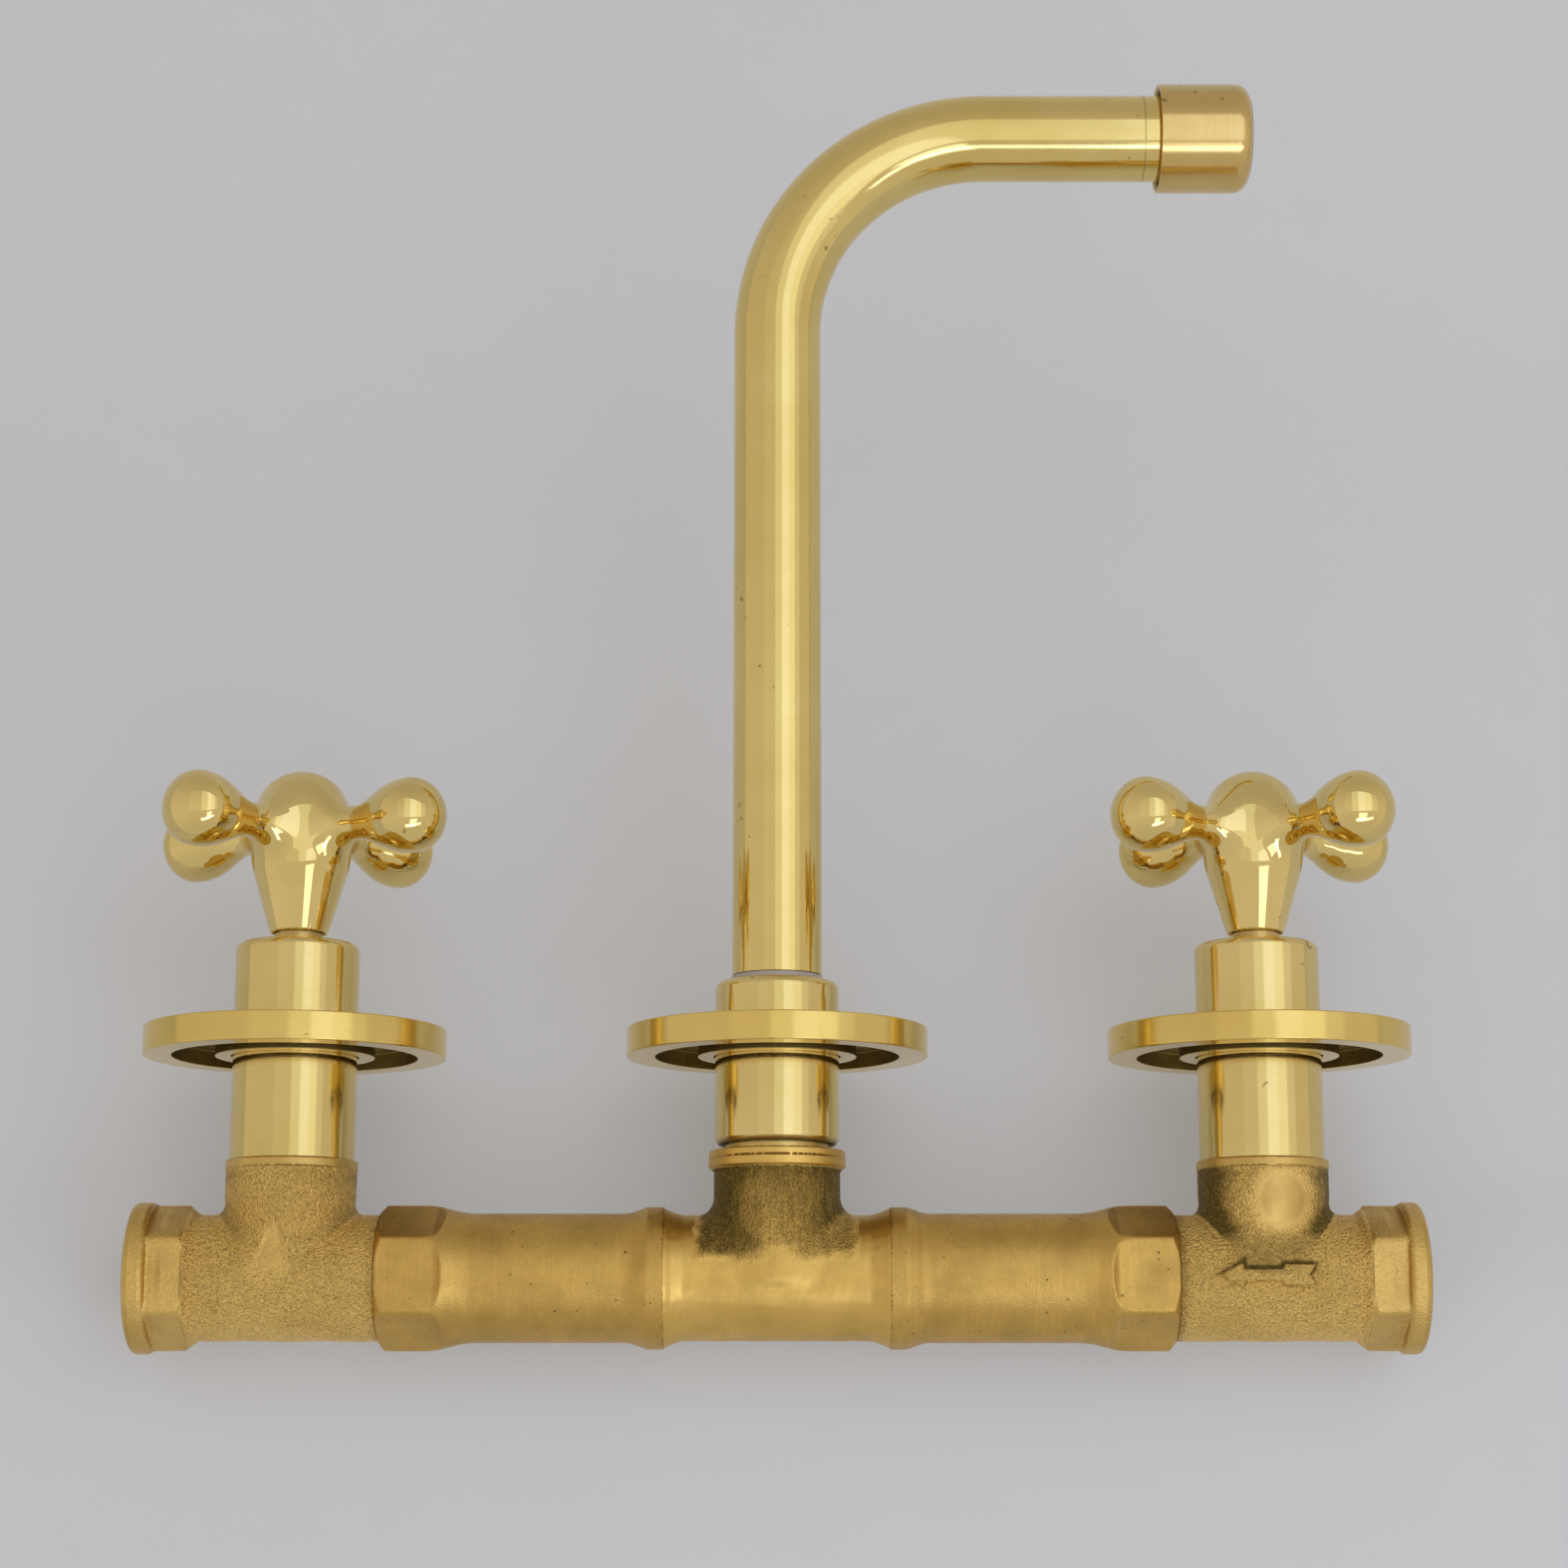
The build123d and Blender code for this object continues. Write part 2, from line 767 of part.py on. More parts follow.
def spindle(opening_way):
    """The spindle, from its driver bar to its spline. opening_way is 1 anticlockwise and -1 clockwise."""
    bar_bottom = moving_disc_top - driver_slot_depth + joint_gap
    clip_bottom = cartridge_top + stop_crown_height + joint_gap
    clip_top = clip_bottom + clip_thickness
    part = turned(
        [
            (0, driver_flange_bottom),
            (disc_radius - joint_gap, driver_flange_bottom),
            (disc_radius - joint_gap, driver_flange_top),
            (journal_radius, driver_flange_top),
            (journal_radius, spline_bottom),
            (0, spline_bottom),
        ]
    )
    bar = Box(driver_bar_width, 2 * disc_radius, driver_flange_bottom - bar_bottom)
    bar = Pos(0, 0, (driver_flange_bottom + bar_bottom) / 2) * bar
    part += bar & post(disc_radius - 0.4, bar_bottom, driver_flange_bottom)
    half_groove = spindle_ring_section / 2 + joint_gap
    floor = journal_radius - spindle_ring_section - joint_gap
    for height in spindle_ring_heights:
        part -= ring(journal_radius + 1, floor, height - half_groove, height + half_groove)
    part -= ring(journal_radius + 1, journal_radius - 0.8, clip_bottom - joint_gap, clip_top + joint_gap)
    lug_top = clip_bottom - joint_gap
    lug_middle = -opening_way * quarter_turn / 2
    lug_bottom = cartridge_top + joint_gap
    part += sector(journal_radius - 1, stop_lug_radius, stop_lug_angle, lug_middle, lug_bottom, lug_top)
    part += Pos(0, 0, spline_bottom) * extrude(
        spline_outline(spline_root_radius, spline_tip_radius), spline_top - spline_bottom
    )
    hole_bottom = spline_top - extension_screw_depth - 1
    return part - post(extension_screw_radius + thread_gap, hole_bottom, spline_top)


def spindle_o_rings():
    """The two O-rings on the spindle's journal."""
    inner = journal_radius - spindle_ring_section
    return [o_ring(inner, spindle_ring_section, height) for height in spindle_ring_heights]


def circlip():
    """The open clip that keeps the spindle in the cartridge."""
    bottom = cartridge_top + stop_crown_height + joint_gap
    top = bottom + clip_thickness
    whole = ring(clip_radius, journal_radius - 0.75, bottom, top)
    return whole - sector(journal_radius - 2, clip_radius + 2, 100, 0, bottom - 1, top + 1)


def spindle_extension(turn):
    """The extension: a splined socket on the spindle and a stem whose flat faces the handle's grub screw."""
    socket_bottom = spline_bottom + seat_gap
    socket_top = spline_top + seat_gap
    part = turned(
        [
            (0, socket_bottom),
            (extension_socket_radius, socket_bottom),
            (extension_socket_radius, socket_top + 3),
            (journal_radius, socket_top + 3 + extension_socket_radius - journal_radius),
            (journal_radius, extension_shoulder),
            (extension_tip_radius, extension_shoulder),
            (extension_tip_radius, extension_top),
            (0, extension_top),
        ],
        [((journal_radius, extension_shoulder), 0.3)],
    )
    socket = spline_outline(spline_root_radius + joint_gap, spline_tip_radius + joint_gap)
    part -= Pos(0, 0, socket_bottom) * extrude(socket, socket_top - socket_bottom)
    part -= post(extension_screw_radius + shaft_gap, socket_top, extension_top)
    flat = Box(2 * extension_tip_radius, 4 * extension_tip_radius, extension_top - extension_shoulder)
    flat_centre = 2 * extension_tip_radius - extension_flat
    flat = Pos(flat_centre, 0, (extension_top + extension_shoulder) / 2) * flat
    return part - Rot(0, 0, turn) * flat


def extension_screw():
    """The long screw that holds the extension on the spindle."""
    bottom = spline_top - extension_screw_depth
    head_top = extension_top + screw_head_height
    screw = post(extension_screw_radius, bottom, extension_top)
    screw += post(screw_head_radius, extension_top, head_top)
    slot_depth = screw_head_height / 2
    return screw - Pos(0, 0, head_top) * Box(3 * screw_head_radius, 0.9, 2 * slot_depth)


def handle_hub():
    """The hub's outer form: a swelling cone under a dome."""
    dome_centre = dome_top - dome_radius
    cone_middle_radius = (hub_bottom_radius + hub_shoulder_radius) / 2 + hub_bulge
    cone_middle = Vector(cone_middle_radius, (hub_bottom + hub_shoulder_height) / 2)
    shoulder = Vector(hub_shoulder_radius, hub_shoulder_height)
    dome_edge = Vector(dome_radius, dome_centre)
    edges = [
        Line((0, hub_bottom), (hub_bottom_radius, hub_bottom)),
        ThreePointArc((hub_bottom_radius, hub_bottom), cone_middle, shoulder),
        Line(shoulder, dome_edge),
        ThreePointArc(
            dome_edge,
            (dome_radius * math.sqrt(0.5), dome_centre + dome_radius * math.sqrt(0.5)),
            (0, dome_top),
        ),
        Line((0, dome_top), (0, hub_bottom)),
    ]
    return revolve(Plane.XZ * make_face(edges), Axis.Z)


def handle_arm():
    """One arm along +X: a root that widens into the hub, a waist, and a knob like a flattened ball."""
    waist_end = knob_centre - knob_flare
    reach = knob_radius / (knob_radius + arm_flare_radius)
    flare_end = Vector(knob_centre - knob_flare * reach, (arm_radius + arm_flare_radius) * reach)
    crown = Vector(knob_centre, knob_radius)
    half_depth = knob_end - knob_centre
    edge_rise = knob_radius - knob_edge_radius
    face_radius = (half_depth**2 + edge_rise**2 - knob_edge_radius**2) / (half_depth - knob_edge_radius) / 2
    face_centre = Vector(knob_end - face_radius, 0)
    edge_centre = Vector(knob_centre, edge_rise)
    edge_end = face_centre + (edge_centre - face_centre).normalized() * face_radius
    edges = [
        Line((arm_start, 0), (arm_start, arm_root_radius)),
        Line((arm_start, arm_root_radius), (arm_root_start, arm_root_radius)),
        TangentArc((arm_root_end, arm_radius), (arm_root_start, arm_root_radius), tangent=(-1, 0)),
        Line((arm_root_end, arm_radius), (waist_end, arm_radius)),
        TangentArc((waist_end, arm_radius), flare_end, tangent=(1, 0)),
        TangentArc(crown, flare_end, tangent=(-1, 0)),
        TangentArc(crown, edge_end, tangent=(1, 0)),
        TangentArc((knob_end, 0), edge_end, tangent=(0, 1)),
        Line((knob_end, 0), (arm_start, 0)),
    ]
    return revolve(make_face(edges), Axis.X)


def handle(turn):
    """A cross handle with its grub hole at the given angle and its arms on the diagonals from there."""
    hub = handle_hub()
    hub -= post(hub_bore_radius, hub_bottom, hub_bore_top)
    hub -= post(journal_radius + joint_gap, hub_bottom, extension_shoulder)
    grub_hole = along_x(post(grub_radius + joint_gap, 0, 2 * hub_bottom_radius))
    hub -= Rot(0, 0, turn) * Pos(0, 0, grub_height) * grub_hole
    arm = handle_arm()
    spacing = 360 / arm_count
    arms = [Rot(0, 0, turn + spacing * (number + 0.5)) * arm for number in range(arm_count)]
    return hub + [Pos(0, 0, arm_height) * one for one in arms]


def grub_screw(turn):
    """The grub screw in the hub, on the flat of the extension."""
    start = extension_tip_radius - extension_flat + joint_gap
    screw = post(grub_radius, start, start + grub_length)
    screw -= hex_bar(grub_key_across_flats, start + grub_length / 2, start + grub_length)
    return Rot(0, 0, turn) * Pos(0, 0, grub_height) * along_x(screw)


def spout_path():
    """The centre line of the spout: out from the wall, round a quarter bend, then along +X."""
    bend_start = leg_height - bend_radius
    riser = Line((0, 0, tube_start), (0, 0, bend_start))
    diagonal = bend_radius * (1 - math.sqrt(0.5))
    bend_middle = (diagonal, 0, leg_height - diagonal)
    bend = ThreePointArc((0, 0, bend_start), bend_middle, (bend_radius, 0, leg_height))
    leg = Line((bend_radius, 0, leg_height), (tube_reach, 0, leg_height))
    return riser + bend + leg


def spout_tube():
    """The bent spout tube, with its outlet leg along +X."""
    section = Circle(tube_radius) - Circle(tube_bore_radius)
    return sweep(Pos(0, 0, tube_start) * section, path=spout_path())


def outlet_adaptor():
    """The threaded end brazed into the tube, along Z from the tube's end."""
    return turned(
        [
            (adaptor_bore_radius, tube_reach - adaptor_overlap),
            (tube_bore_radius - joint_gap, tube_reach - adaptor_overlap),
            (tube_bore_radius - joint_gap, tube_reach),
            (tube_radius, tube_reach),
            (tube_radius, adaptor_thread_start),
            (adaptor_thread_radius, adaptor_thread_start),
            (adaptor_thread_radius, adaptor_end),
            (adaptor_bore_radius, adaptor_end),
        ],
        [((adaptor_thread_radius, adaptor_end), 0.4)],
    )


def outlet_washer():
    """The flat rubber washer between adaptor and aerator insert."""
    return ring(adaptor_thread_radius - 0.2, outlet_washer_bore_radius, adaptor_end, insert_start)


def insert_end():
    """Where the aerator insert ends, just inside the mouth of its cap."""
    return cap_end - 0.8


def aerator_insert():
    """The plastic cartridge of the aerator: a cup with a flange and a square grid across its mouth."""
    flange_end = insert_start + insert_flange_thickness
    seat = cap_end - cap_lip_length
    nose_radius = cap_lip_radius - shaft_gap
    cup = turned(
        [
            (0, insert_start),
            (adaptor_thread_radius - 0.2, insert_start),
            (adaptor_thread_radius - 0.2, flange_end),
            (insert_radius, flange_end),
            (insert_radius, seat),
            (nose_radius, seat),
            (nose_radius, insert_end()),
            (0, insert_end()),
        ],
        [((nose_radius, insert_end()), 0.4)],
    )
    hollow_radius = nose_radius - 1.2
    cup -= post(hollow_radius, insert_start, insert_end() - grid_depth)
    hole = grid_pitch - grid_rib
    holes = [
        Pos(x, y, insert_end() - grid_depth / 2) * Box(hole, hole, 2 * grid_depth)
        for x, y in grid_places(hollow_radius)
    ]
    return cup - holes


def grid_places(limit):
    """The centres of the grid's square holes that fit in a circle."""
    steps = range(-int(limit / grid_pitch), int(limit / grid_pitch) + 1)
    centres = [(grid_pitch * i, grid_pitch * j) for i in steps for j in steps]
    reach = limit - (grid_pitch - grid_rib) / math.sqrt(2)
    return [(x, y) for x, y in centres if math.hypot(x, y) <= reach]


def aerator_screen():
    """The perforated screen across the insert's inlet side."""
    hollow_radius = cap_lip_radius - shaft_gap - 1.2
    bottom = insert_start + insert_flange_thickness
    screen = post(hollow_radius - joint_gap, bottom, bottom + 0.6)
    holes = PolarLocations(hollow_radius * 0.62, 8) * Cylinder(1.1, 6)
    holes += PolarLocations(hollow_radius * 0.28, 4) * Cylinder(0.9, 6)
    return screen - [Pos(0, 0, bottom) * hole for hole in holes]


def aerator_cap():
    """The aerator's cap nut: a skirt over the adaptor, a seat for the insert and a rounded mouth."""
    bore = adaptor_thread_radius + thread_gap
    seat = cap_end - cap_lip_length
    return turned(
        [
            (bore, cap_start + 0.5),
            (cap_radius - 0.6, cap_start),
            (cap_radius, cap_start),
            (cap_radius, cap_end),
            (cap_lip_radius, cap_end),
            (cap_lip_radius, seat),
            (bore, seat),
        ],
        [((cap_radius, cap_end), cap_edge)],
    )


def out_of_wall(shape, offset=0.0):
    """Stands a stack on the manifold at the given X, pointing at the room."""
    return Pos(offset, manifold_depth, 0) * Rot(90, 0, 0) * shape


def at_outlet(shape):
    """Moves a shape made along Z onto the spout's leg, which points along -X."""
    return out_of_wall(Rot(0, 0, 180) * Pos(0, 0, leg_height) * along_x(shape))


def save(name, shape):
    """Writes one named sub-part."""
    if isinstance(shape, (list, ShapeList)):
        shape = Compound(children=list(shape))
    export_step(shape, f"parts/{name}.step")


def save_valve(side, offset, facing, opening_way, turn):
    """Writes one valve with its handle. facing is the half turn that points its inlet away from the spout."""
    still = {
        "valve_body": valve_body(),
        "union_washer": union_washer(),
        "seat_seal": seat_seal(),
        "fixed_disc": fixed_disc(),
        "cartridge": cartridge(),
        "cartridge_o_ring": cartridge_o_ring(),
        "friction_washer": friction_washer(),
        "valve_sleeve": valve_sleeve(),
        "escutcheon": escutcheon(),
        "escutcheon_o_ring": grip_ring(),
    }
    turning = {
        "moving_disc": moving_disc(),
        "spindle": spindle(opening_way),
        "spindle_o_rings": spindle_o_rings(),
        "circlip": circlip(),
        "extension_screw": extension_screw(),
    }
    for name, shape in still.items():
        save(f"{name}_{side}", out_of_wall(Rot(0, 0, facing) * shape, offset))
    for name, shape in turning.items():
        parts = shape if isinstance(shape, list) else [shape]
        save(f"{name}_{side}", [out_of_wall(Rot(0, 0, facing) * part, offset) for part in parts])
    save(f"spindle_extension_{side}", out_of_wall(spindle_extension(turn), offset))
    save(f"handle_{side}", out_of_wall(handle(turn), offset))
    save(f"grub_screw_{side}", out_of_wall(grub_screw(turn), offset))
    save(f"connector_{side}", out_of_wall(Rot(0, 0, facing) * connector()))


def save_spout():
    """Writes the tee, the spout and what holds and ends it."""
    fixed = {
        "tee": tee(),
        "spout_nipple": spout_nipple(),
        "spout_collar": spout_collar(),
        "spout_bush": spout_bush(),
        "thrust_washer": thrust_washer(),
        "escutcheon_spout": escutcheon(),
        "escutcheon_o_ring_spout": grip_ring(),
        "spout_tail": spout_tail(),
        "snap_ring": snap_ring(),
        "spout_tube": Rot(0, 0, 180) * spout_tube(),
    }
    for name, shape in fixed.items():
        save(name, out_of_wall(shape))
    save("tail_o_rings", [out_of_wall(part) for part in tail_o_rings()])
    outlet = {
        "outlet_adaptor": outlet_adaptor(),
        "outlet_washer": outlet_washer(),
        "aerator_screen": aerator_screen(),
        "aerator_insert": aerator_insert(),
        "aerator_cap": aerator_cap(),
    }
    for name, shape in outlet.items():
        save(name, at_outlet(shape))


os.makedirs("parts", exist_ok=True)
save_valve("hot", -valve_offset, 180, 1, -hot_handle_turn)
save_valve("cold", valve_offset, 0, -1, cold_handle_turn - 90)
save_spout()
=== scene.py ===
import json
import math

import bpy
import numpy as np
from mathutils import Matrix, Vector


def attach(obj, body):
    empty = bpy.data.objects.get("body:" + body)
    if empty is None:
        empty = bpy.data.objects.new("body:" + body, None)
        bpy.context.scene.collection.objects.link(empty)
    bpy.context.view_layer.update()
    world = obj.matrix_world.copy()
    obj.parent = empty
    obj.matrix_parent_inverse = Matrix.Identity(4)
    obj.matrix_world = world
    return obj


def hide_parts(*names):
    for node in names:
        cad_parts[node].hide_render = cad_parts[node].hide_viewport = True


# The looks of a brass wall-mounted faucet. Lengths in the shape functions are millimetres on each
# stack's own axis, height 0 on the manifold's axis, as in the solids. Blender's frame is in metres.

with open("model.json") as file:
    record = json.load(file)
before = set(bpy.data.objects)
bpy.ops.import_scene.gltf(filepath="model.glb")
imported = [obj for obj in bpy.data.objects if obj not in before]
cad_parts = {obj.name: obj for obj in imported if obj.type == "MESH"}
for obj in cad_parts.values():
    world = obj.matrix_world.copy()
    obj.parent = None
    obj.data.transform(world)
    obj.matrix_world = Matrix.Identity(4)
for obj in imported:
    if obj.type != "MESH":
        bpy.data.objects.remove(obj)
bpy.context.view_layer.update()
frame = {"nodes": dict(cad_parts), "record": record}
MM = 0.001
CELL = 0.4

# Driving dimensions: the valves' distance from the spout, the manifold's depth behind the wall,
# the height and reach of the spout's leg, and the height of the handles' arms
VALVE = 101.6
DEPTH = 46.0
LEG = 252.2
REACH = 81.5
ARM = 94.7

# Each side's place along the manifold, and how far its valve body is turned
SIDES = {"hot": (-VALVE, 180.0), "cold": (VALVE, 0.0)}
HANDLE_TURNS = {"hot": -8.13, "cold": -80.0}


# Shape functions, negative inside

def join(a, b, r):
    """Union with a concave fillet of radius r."""
    u = np.maximum(r - a, 0)
    v = np.maximum(r - b, 0)
    return np.maximum(r, np.minimum(a, b)) - np.sqrt(u * u + v * v)


def meet(a, b, r):
    """Intersection with a convex rounding of radius r."""
    u = np.maximum(r + a, 0)
    v = np.maximum(r + b, 0)
    return np.minimum(-r, np.maximum(a, b)) + np.sqrt(u * u + v * v)


def cut(a, b, r):
    """a without b, its edges rounded by r."""
    return meet(a, -b, r)


def rod(rho, z, radius, z0, z1, r):
    """A round bar between two heights, its ends rounded by r."""
    return meet(rho - radius, np.abs(z - (z0 + z1) / 2) - (z1 - z0) / 2, r)


def curve_radius(z, knots):
    """Radius along an axis through (z, radius) knots, smooth at each knot."""
    at = np.array([k[0] for k in knots], float)
    radius = np.array([k[1] for k in knots], float)
    gap = np.diff(at)
    slope = np.diff(radius) / gap
    tangent = np.zeros(len(at))
    same_way = slope[:-1] * slope[1:] > 0
    before, after = slope[:-1][same_way], slope[1:][same_way]
    tangent[1:-1][same_way] = 2 * before * after / (before + after)
    i = np.clip(np.searchsorted(at, z) - 1, 0, len(gap) - 1)
    t = np.clip((z - at[i]) / gap[i], 0, 1)
    return ((1 + 2 * t) * (1 - t) ** 2 * radius[i] + t * (1 - t) ** 2 * gap[i] * tangent[i]
            + t * t * (3 - 2 * t) * radius[i + 1] + t * t * (t - 1) * gap[i] * tangent[i + 1])


def wave(x, y, z, size, seed):
    """Smooth random unevenness of about one, from a few crossed waves."""
    rng = np.random.default_rng(seed)
    total = np.zeros(np.shape(x))
    for _ in range(7):
        k = rng.normal(size=3)
        k *= 2 * math.pi / size / np.linalg.norm(k) * rng.uniform(0.7, 1.5)
        total = total + np.sin(k[0] * x + k[1] * y + k[2] * z + rng.uniform(0, 6.28))
    return total / 2.6


# Meshes

def net(shape, lo, hi, cell=CELL):
    """Meshes the zero level of a shape function: vertices on the surface, faces and vertex normals."""
    lo, hi = np.array(lo, float), np.array(hi, float)
    count = np.ceil((hi - lo) / cell).astype(int) + 1
    axes = [lo[k] + cell * np.arange(count[k]) for k in range(3)]
    value = np.empty(count)
    for i, x in enumerate(axes[0]):
        gx, gy, gz = np.meshgrid([x], axes[1], axes[2], indexing="ij")
        value[i] = shape(gx, gy, gz)[0]
    inside = value < 0
    full = np.zeros(count - 1, int)
    for a in (0, 1):
        for b in (0, 1):
            for c in (0, 1):
                full += inside[a:count[0] - 1 + a, b:count[1] - 1 + b, c:count[2] - 1 + c]
    mixed = (full > 0) & (full < 8)
    cells = np.argwhere(mixed)
    index = -np.ones(count - 1, int)
    index[mixed] = np.arange(len(cells))
    start = lo + cell * mean_crossing(value, cells)
    points = pulled_to_surface(shape, start, cell)
    _, normal = level_and_slope(shape, points)
    faces = []
    for axis in range(3):
        others = [k for k in range(3) if k != axis]
        a = np.take(inside, range(count[axis] - 1), axis)
        b = np.take(inside, range(1, count[axis]), axis)
        for flip, which in ((False, a & ~b), (True, ~a & b)):
            spots = np.argwhere(which)
            within = (spots[:, others] > 0) & (spots[:, others] < count[others] - 1)
            spots = spots[within.all(axis=1)]
            corner = []
            for da, db in ((1, 1), (0, 1), (0, 0), (1, 0)):
                s = spots.copy()
                s[:, others[0]] -= da
                s[:, others[1]] -= db
                corner.append(index[s[:, 0], s[:, 1], s[:, 2]])
            quad = np.stack(corner, 1)
            turn = flip if axis != 1 else not flip
            faces.append(quad[:, ::-1] if turn else quad)
    return points, np.concatenate(faces), normal


def mean_crossing(value, cells):
    """The mean place, in cells, where the zero level crosses the edges of each given cell."""
    total = np.zeros((len(cells), 3))
    hits = np.zeros(len(cells))
    for axis in range(3):
        step = np.eye(3, dtype=int)[axis]
        others = [k for k in range(3) if k != axis]
        for a in (0, 1):
            for b in (0, 1):
                start = np.zeros(3, int)
                start[others[0]], start[others[1]] = a, b
                p = cells + start
                va = value[p[:, 0], p[:, 1], p[:, 2]]
                q = p + step
                vb = value[q[:, 0], q[:, 1], q[:, 2]]
                crossing = (va < 0) != (vb < 0)
                t = np.where(crossing, va / np.where(crossing, va - vb, 1), 0)
                point = p + t[:, None] * step
                total += np.where(crossing[:, None], point, 0)
                hits += crossing
    return total / hits[:, None]


def pulled_to_surface(shape, home, cell):
    """Moves points onto the surface, none of them farther than most of a cell."""
    points = home
    for _ in range(5):
        level, normal = level_and_slope(shape, points)
        points = points - np.clip(level, -cell, cell)[:, None] * normal
        drift = points - home
        far = np.linalg.norm(drift, axis=1)
        keep = np.minimum(1, 0.8 * cell / np.maximum(far, 1e-9))
        points = home + drift * keep[:, None]
    return points


def level_and_slope(shape, points):
    """The shape function over its slope, and the unit normal, at points near the surface."""
    e = 0.01
    x, y, z = points.T
    level = shape(x, y, z)
    gx = (shape(x + e, y, z) - shape(x - e, y, z)) / (2 * e)
    gy = (shape(x, y + e, z) - shape(x, y - e, z)) / (2 * e)
    gz = (shape(x, y, z + e) - shape(x, y, z - e)) / (2 * e)
    slope = np.stack([gx, gy, gz], 1)
    size = np.linalg.norm(slope, axis=1)
    return level / np.maximum(size, 0.2), slope / np.maximum(size, 1e-9)[:, None]


def corners(outline):
    """Spans of a closed (radius, height, fillet) outline, listed anticlockwise: ends and their normals."""
    n = len(outline)
    pts = [np.array(p[:2], float) for p in outline]
    fil = [p[2] if len(p) > 2 else 0.0 for p in outline]
    starts, ends, arcs = [], [], []
    for i in range(n):
        a, b, c = pts[i - 1], pts[i], pts[(i + 1) % n]
        u = (a - b) / np.linalg.norm(a - b)
        v = (c - b) / np.linalg.norm(c - b)
        if fil[i] <= 0:
            starts.append(b)
            ends.append(b)
            arcs.append(None)
            continue
        half = math.acos(np.clip(np.dot(u, v), -1, 1)) / 2
        back = fil[i] / math.tan(half)
        middle = (u + v) / np.linalg.norm(u + v) * fil[i] / math.sin(half) + b
        starts.append(b + u * back)
        ends.append(b + v * back)
        arcs.append((middle, fil[i], math.pi - 2 * half))
    spans = []
    for i in range(n):
        if arcs[i]:
            middle, radius, sweep = arcs[i]
            steps = max(3, int(math.degrees(sweep) / 7))
            a0 = math.atan2(*(starts[i] - middle)[::-1])
            a1 = math.atan2(*(ends[i] - middle)[::-1])
            d = (a1 - a0 + math.pi) % (2 * math.pi) - math.pi
            sign = 1 if d > 0 else -1
            for k in range(steps):
                p, q = a0 + d * k / steps, a0 + d * (k + 1) / steps
                e0 = np.array([math.cos(p), math.sin(p)])
                e1 = np.array([math.cos(q), math.sin(q)])
                spans.append((middle + radius * e0, middle + radius * e1, sign * e0, sign * e1))
        a, b = ends[i], starts[(i + 1) % n]
        if np.linalg.norm(b - a) > 1e-6:
            t = (b - a) / np.linalg.norm(b - a)
            flat = np.array([t[1], -t[0]])
            spans.append((a, b, flat, flat))
    return spans


def lathe(outline, segments=192):
    """Turns a closed outline about the height axis. Returns vertices, faces and corner normals."""
    spans = corners(outline)
    angle = 2 * math.pi * np.arange(segments) / segments
    ca, sa = np.cos(angle), np.sin(angle)

    def ring(flat):
        return np.stack([flat[0] * ca, flat[0] * sa, np.full(segments, flat[1])], 1)

    verts = np.concatenate([ring(span[0]) for span in spans])
    faces, normals = [], []
    j = np.arange(segments)
    k = (j + 1) % segments
    for i, (_, _, n0, n1) in enumerate(spans):
        base, top = i * segments, (i + 1) % len(spans) * segments
        faces.append(np.stack([base + j, base + k, top + k, top + j], 1))
        low, high = ring(n0), ring(n1)
        normals.append(np.stack([low[j], low[k], high[k], high[j]], 1))
    return verts, np.concatenate(faces), np.concatenate(normals).reshape(-1, 3)


def round_distance(mesh):
    """How far each vertex of a mesh lies from its own axis."""
    return np.hypot(mesh[0][:, 0], mesh[0][:, 1])


def piece(name, mesh, place, body, material, replaces=(), marks=None):
    """Makes an object of a mesh in millimetres. place maps local points and directions to the frame."""
    verts, faces, normals = mesh
    data = bpy.data.meshes.new(name)
    data.from_pydata((place(verts, 1) * MM).tolist(), [], np.asarray(faces).tolist())
    data.update()
    data.polygons.foreach_set("use_smooth", np.ones(len(data.polygons), bool))
    turned = place(normals, 0)
    if len(normals) == len(verts):
        data.normals_split_custom_set_from_vertices(turned.tolist())
    else:
        data.normals_split_custom_set(turned.tolist())
    for key, values in (marks or {}).items():
        layer = data.attributes.new(key, "FLOAT", "POINT")
        layer.data.foreach_set("value", np.asarray(values, np.float32))
    obj = bpy.data.objects.new(name, data)
    bpy.context.scene.collection.objects.link(obj)
    data.materials.append(material)
    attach(obj, body)
    if replaces:
        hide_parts(*replaces)
    return obj


def stack(offset, turn=0.0):
    """Stands a local mesh on the manifold at an X, turned about its own axis."""
    c, s = math.cos(math.radians(turn)), math.sin(math.radians(turn))

    def place(p, is_point):
        x, y, z = np.asarray(p, float).T
        return np.stack([c * x - s * y + offset * is_point, DEPTH * is_point - z, s * x + c * y], 1)

    return place


def outlet(p, is_point):
    """Lays a local mesh, made along Z, on the spout's leg."""
    x, y, z = np.asarray(p, float).T
    return np.stack([-z, DEPTH * is_point - LEG * is_point + x, -y], 1)


# Materials

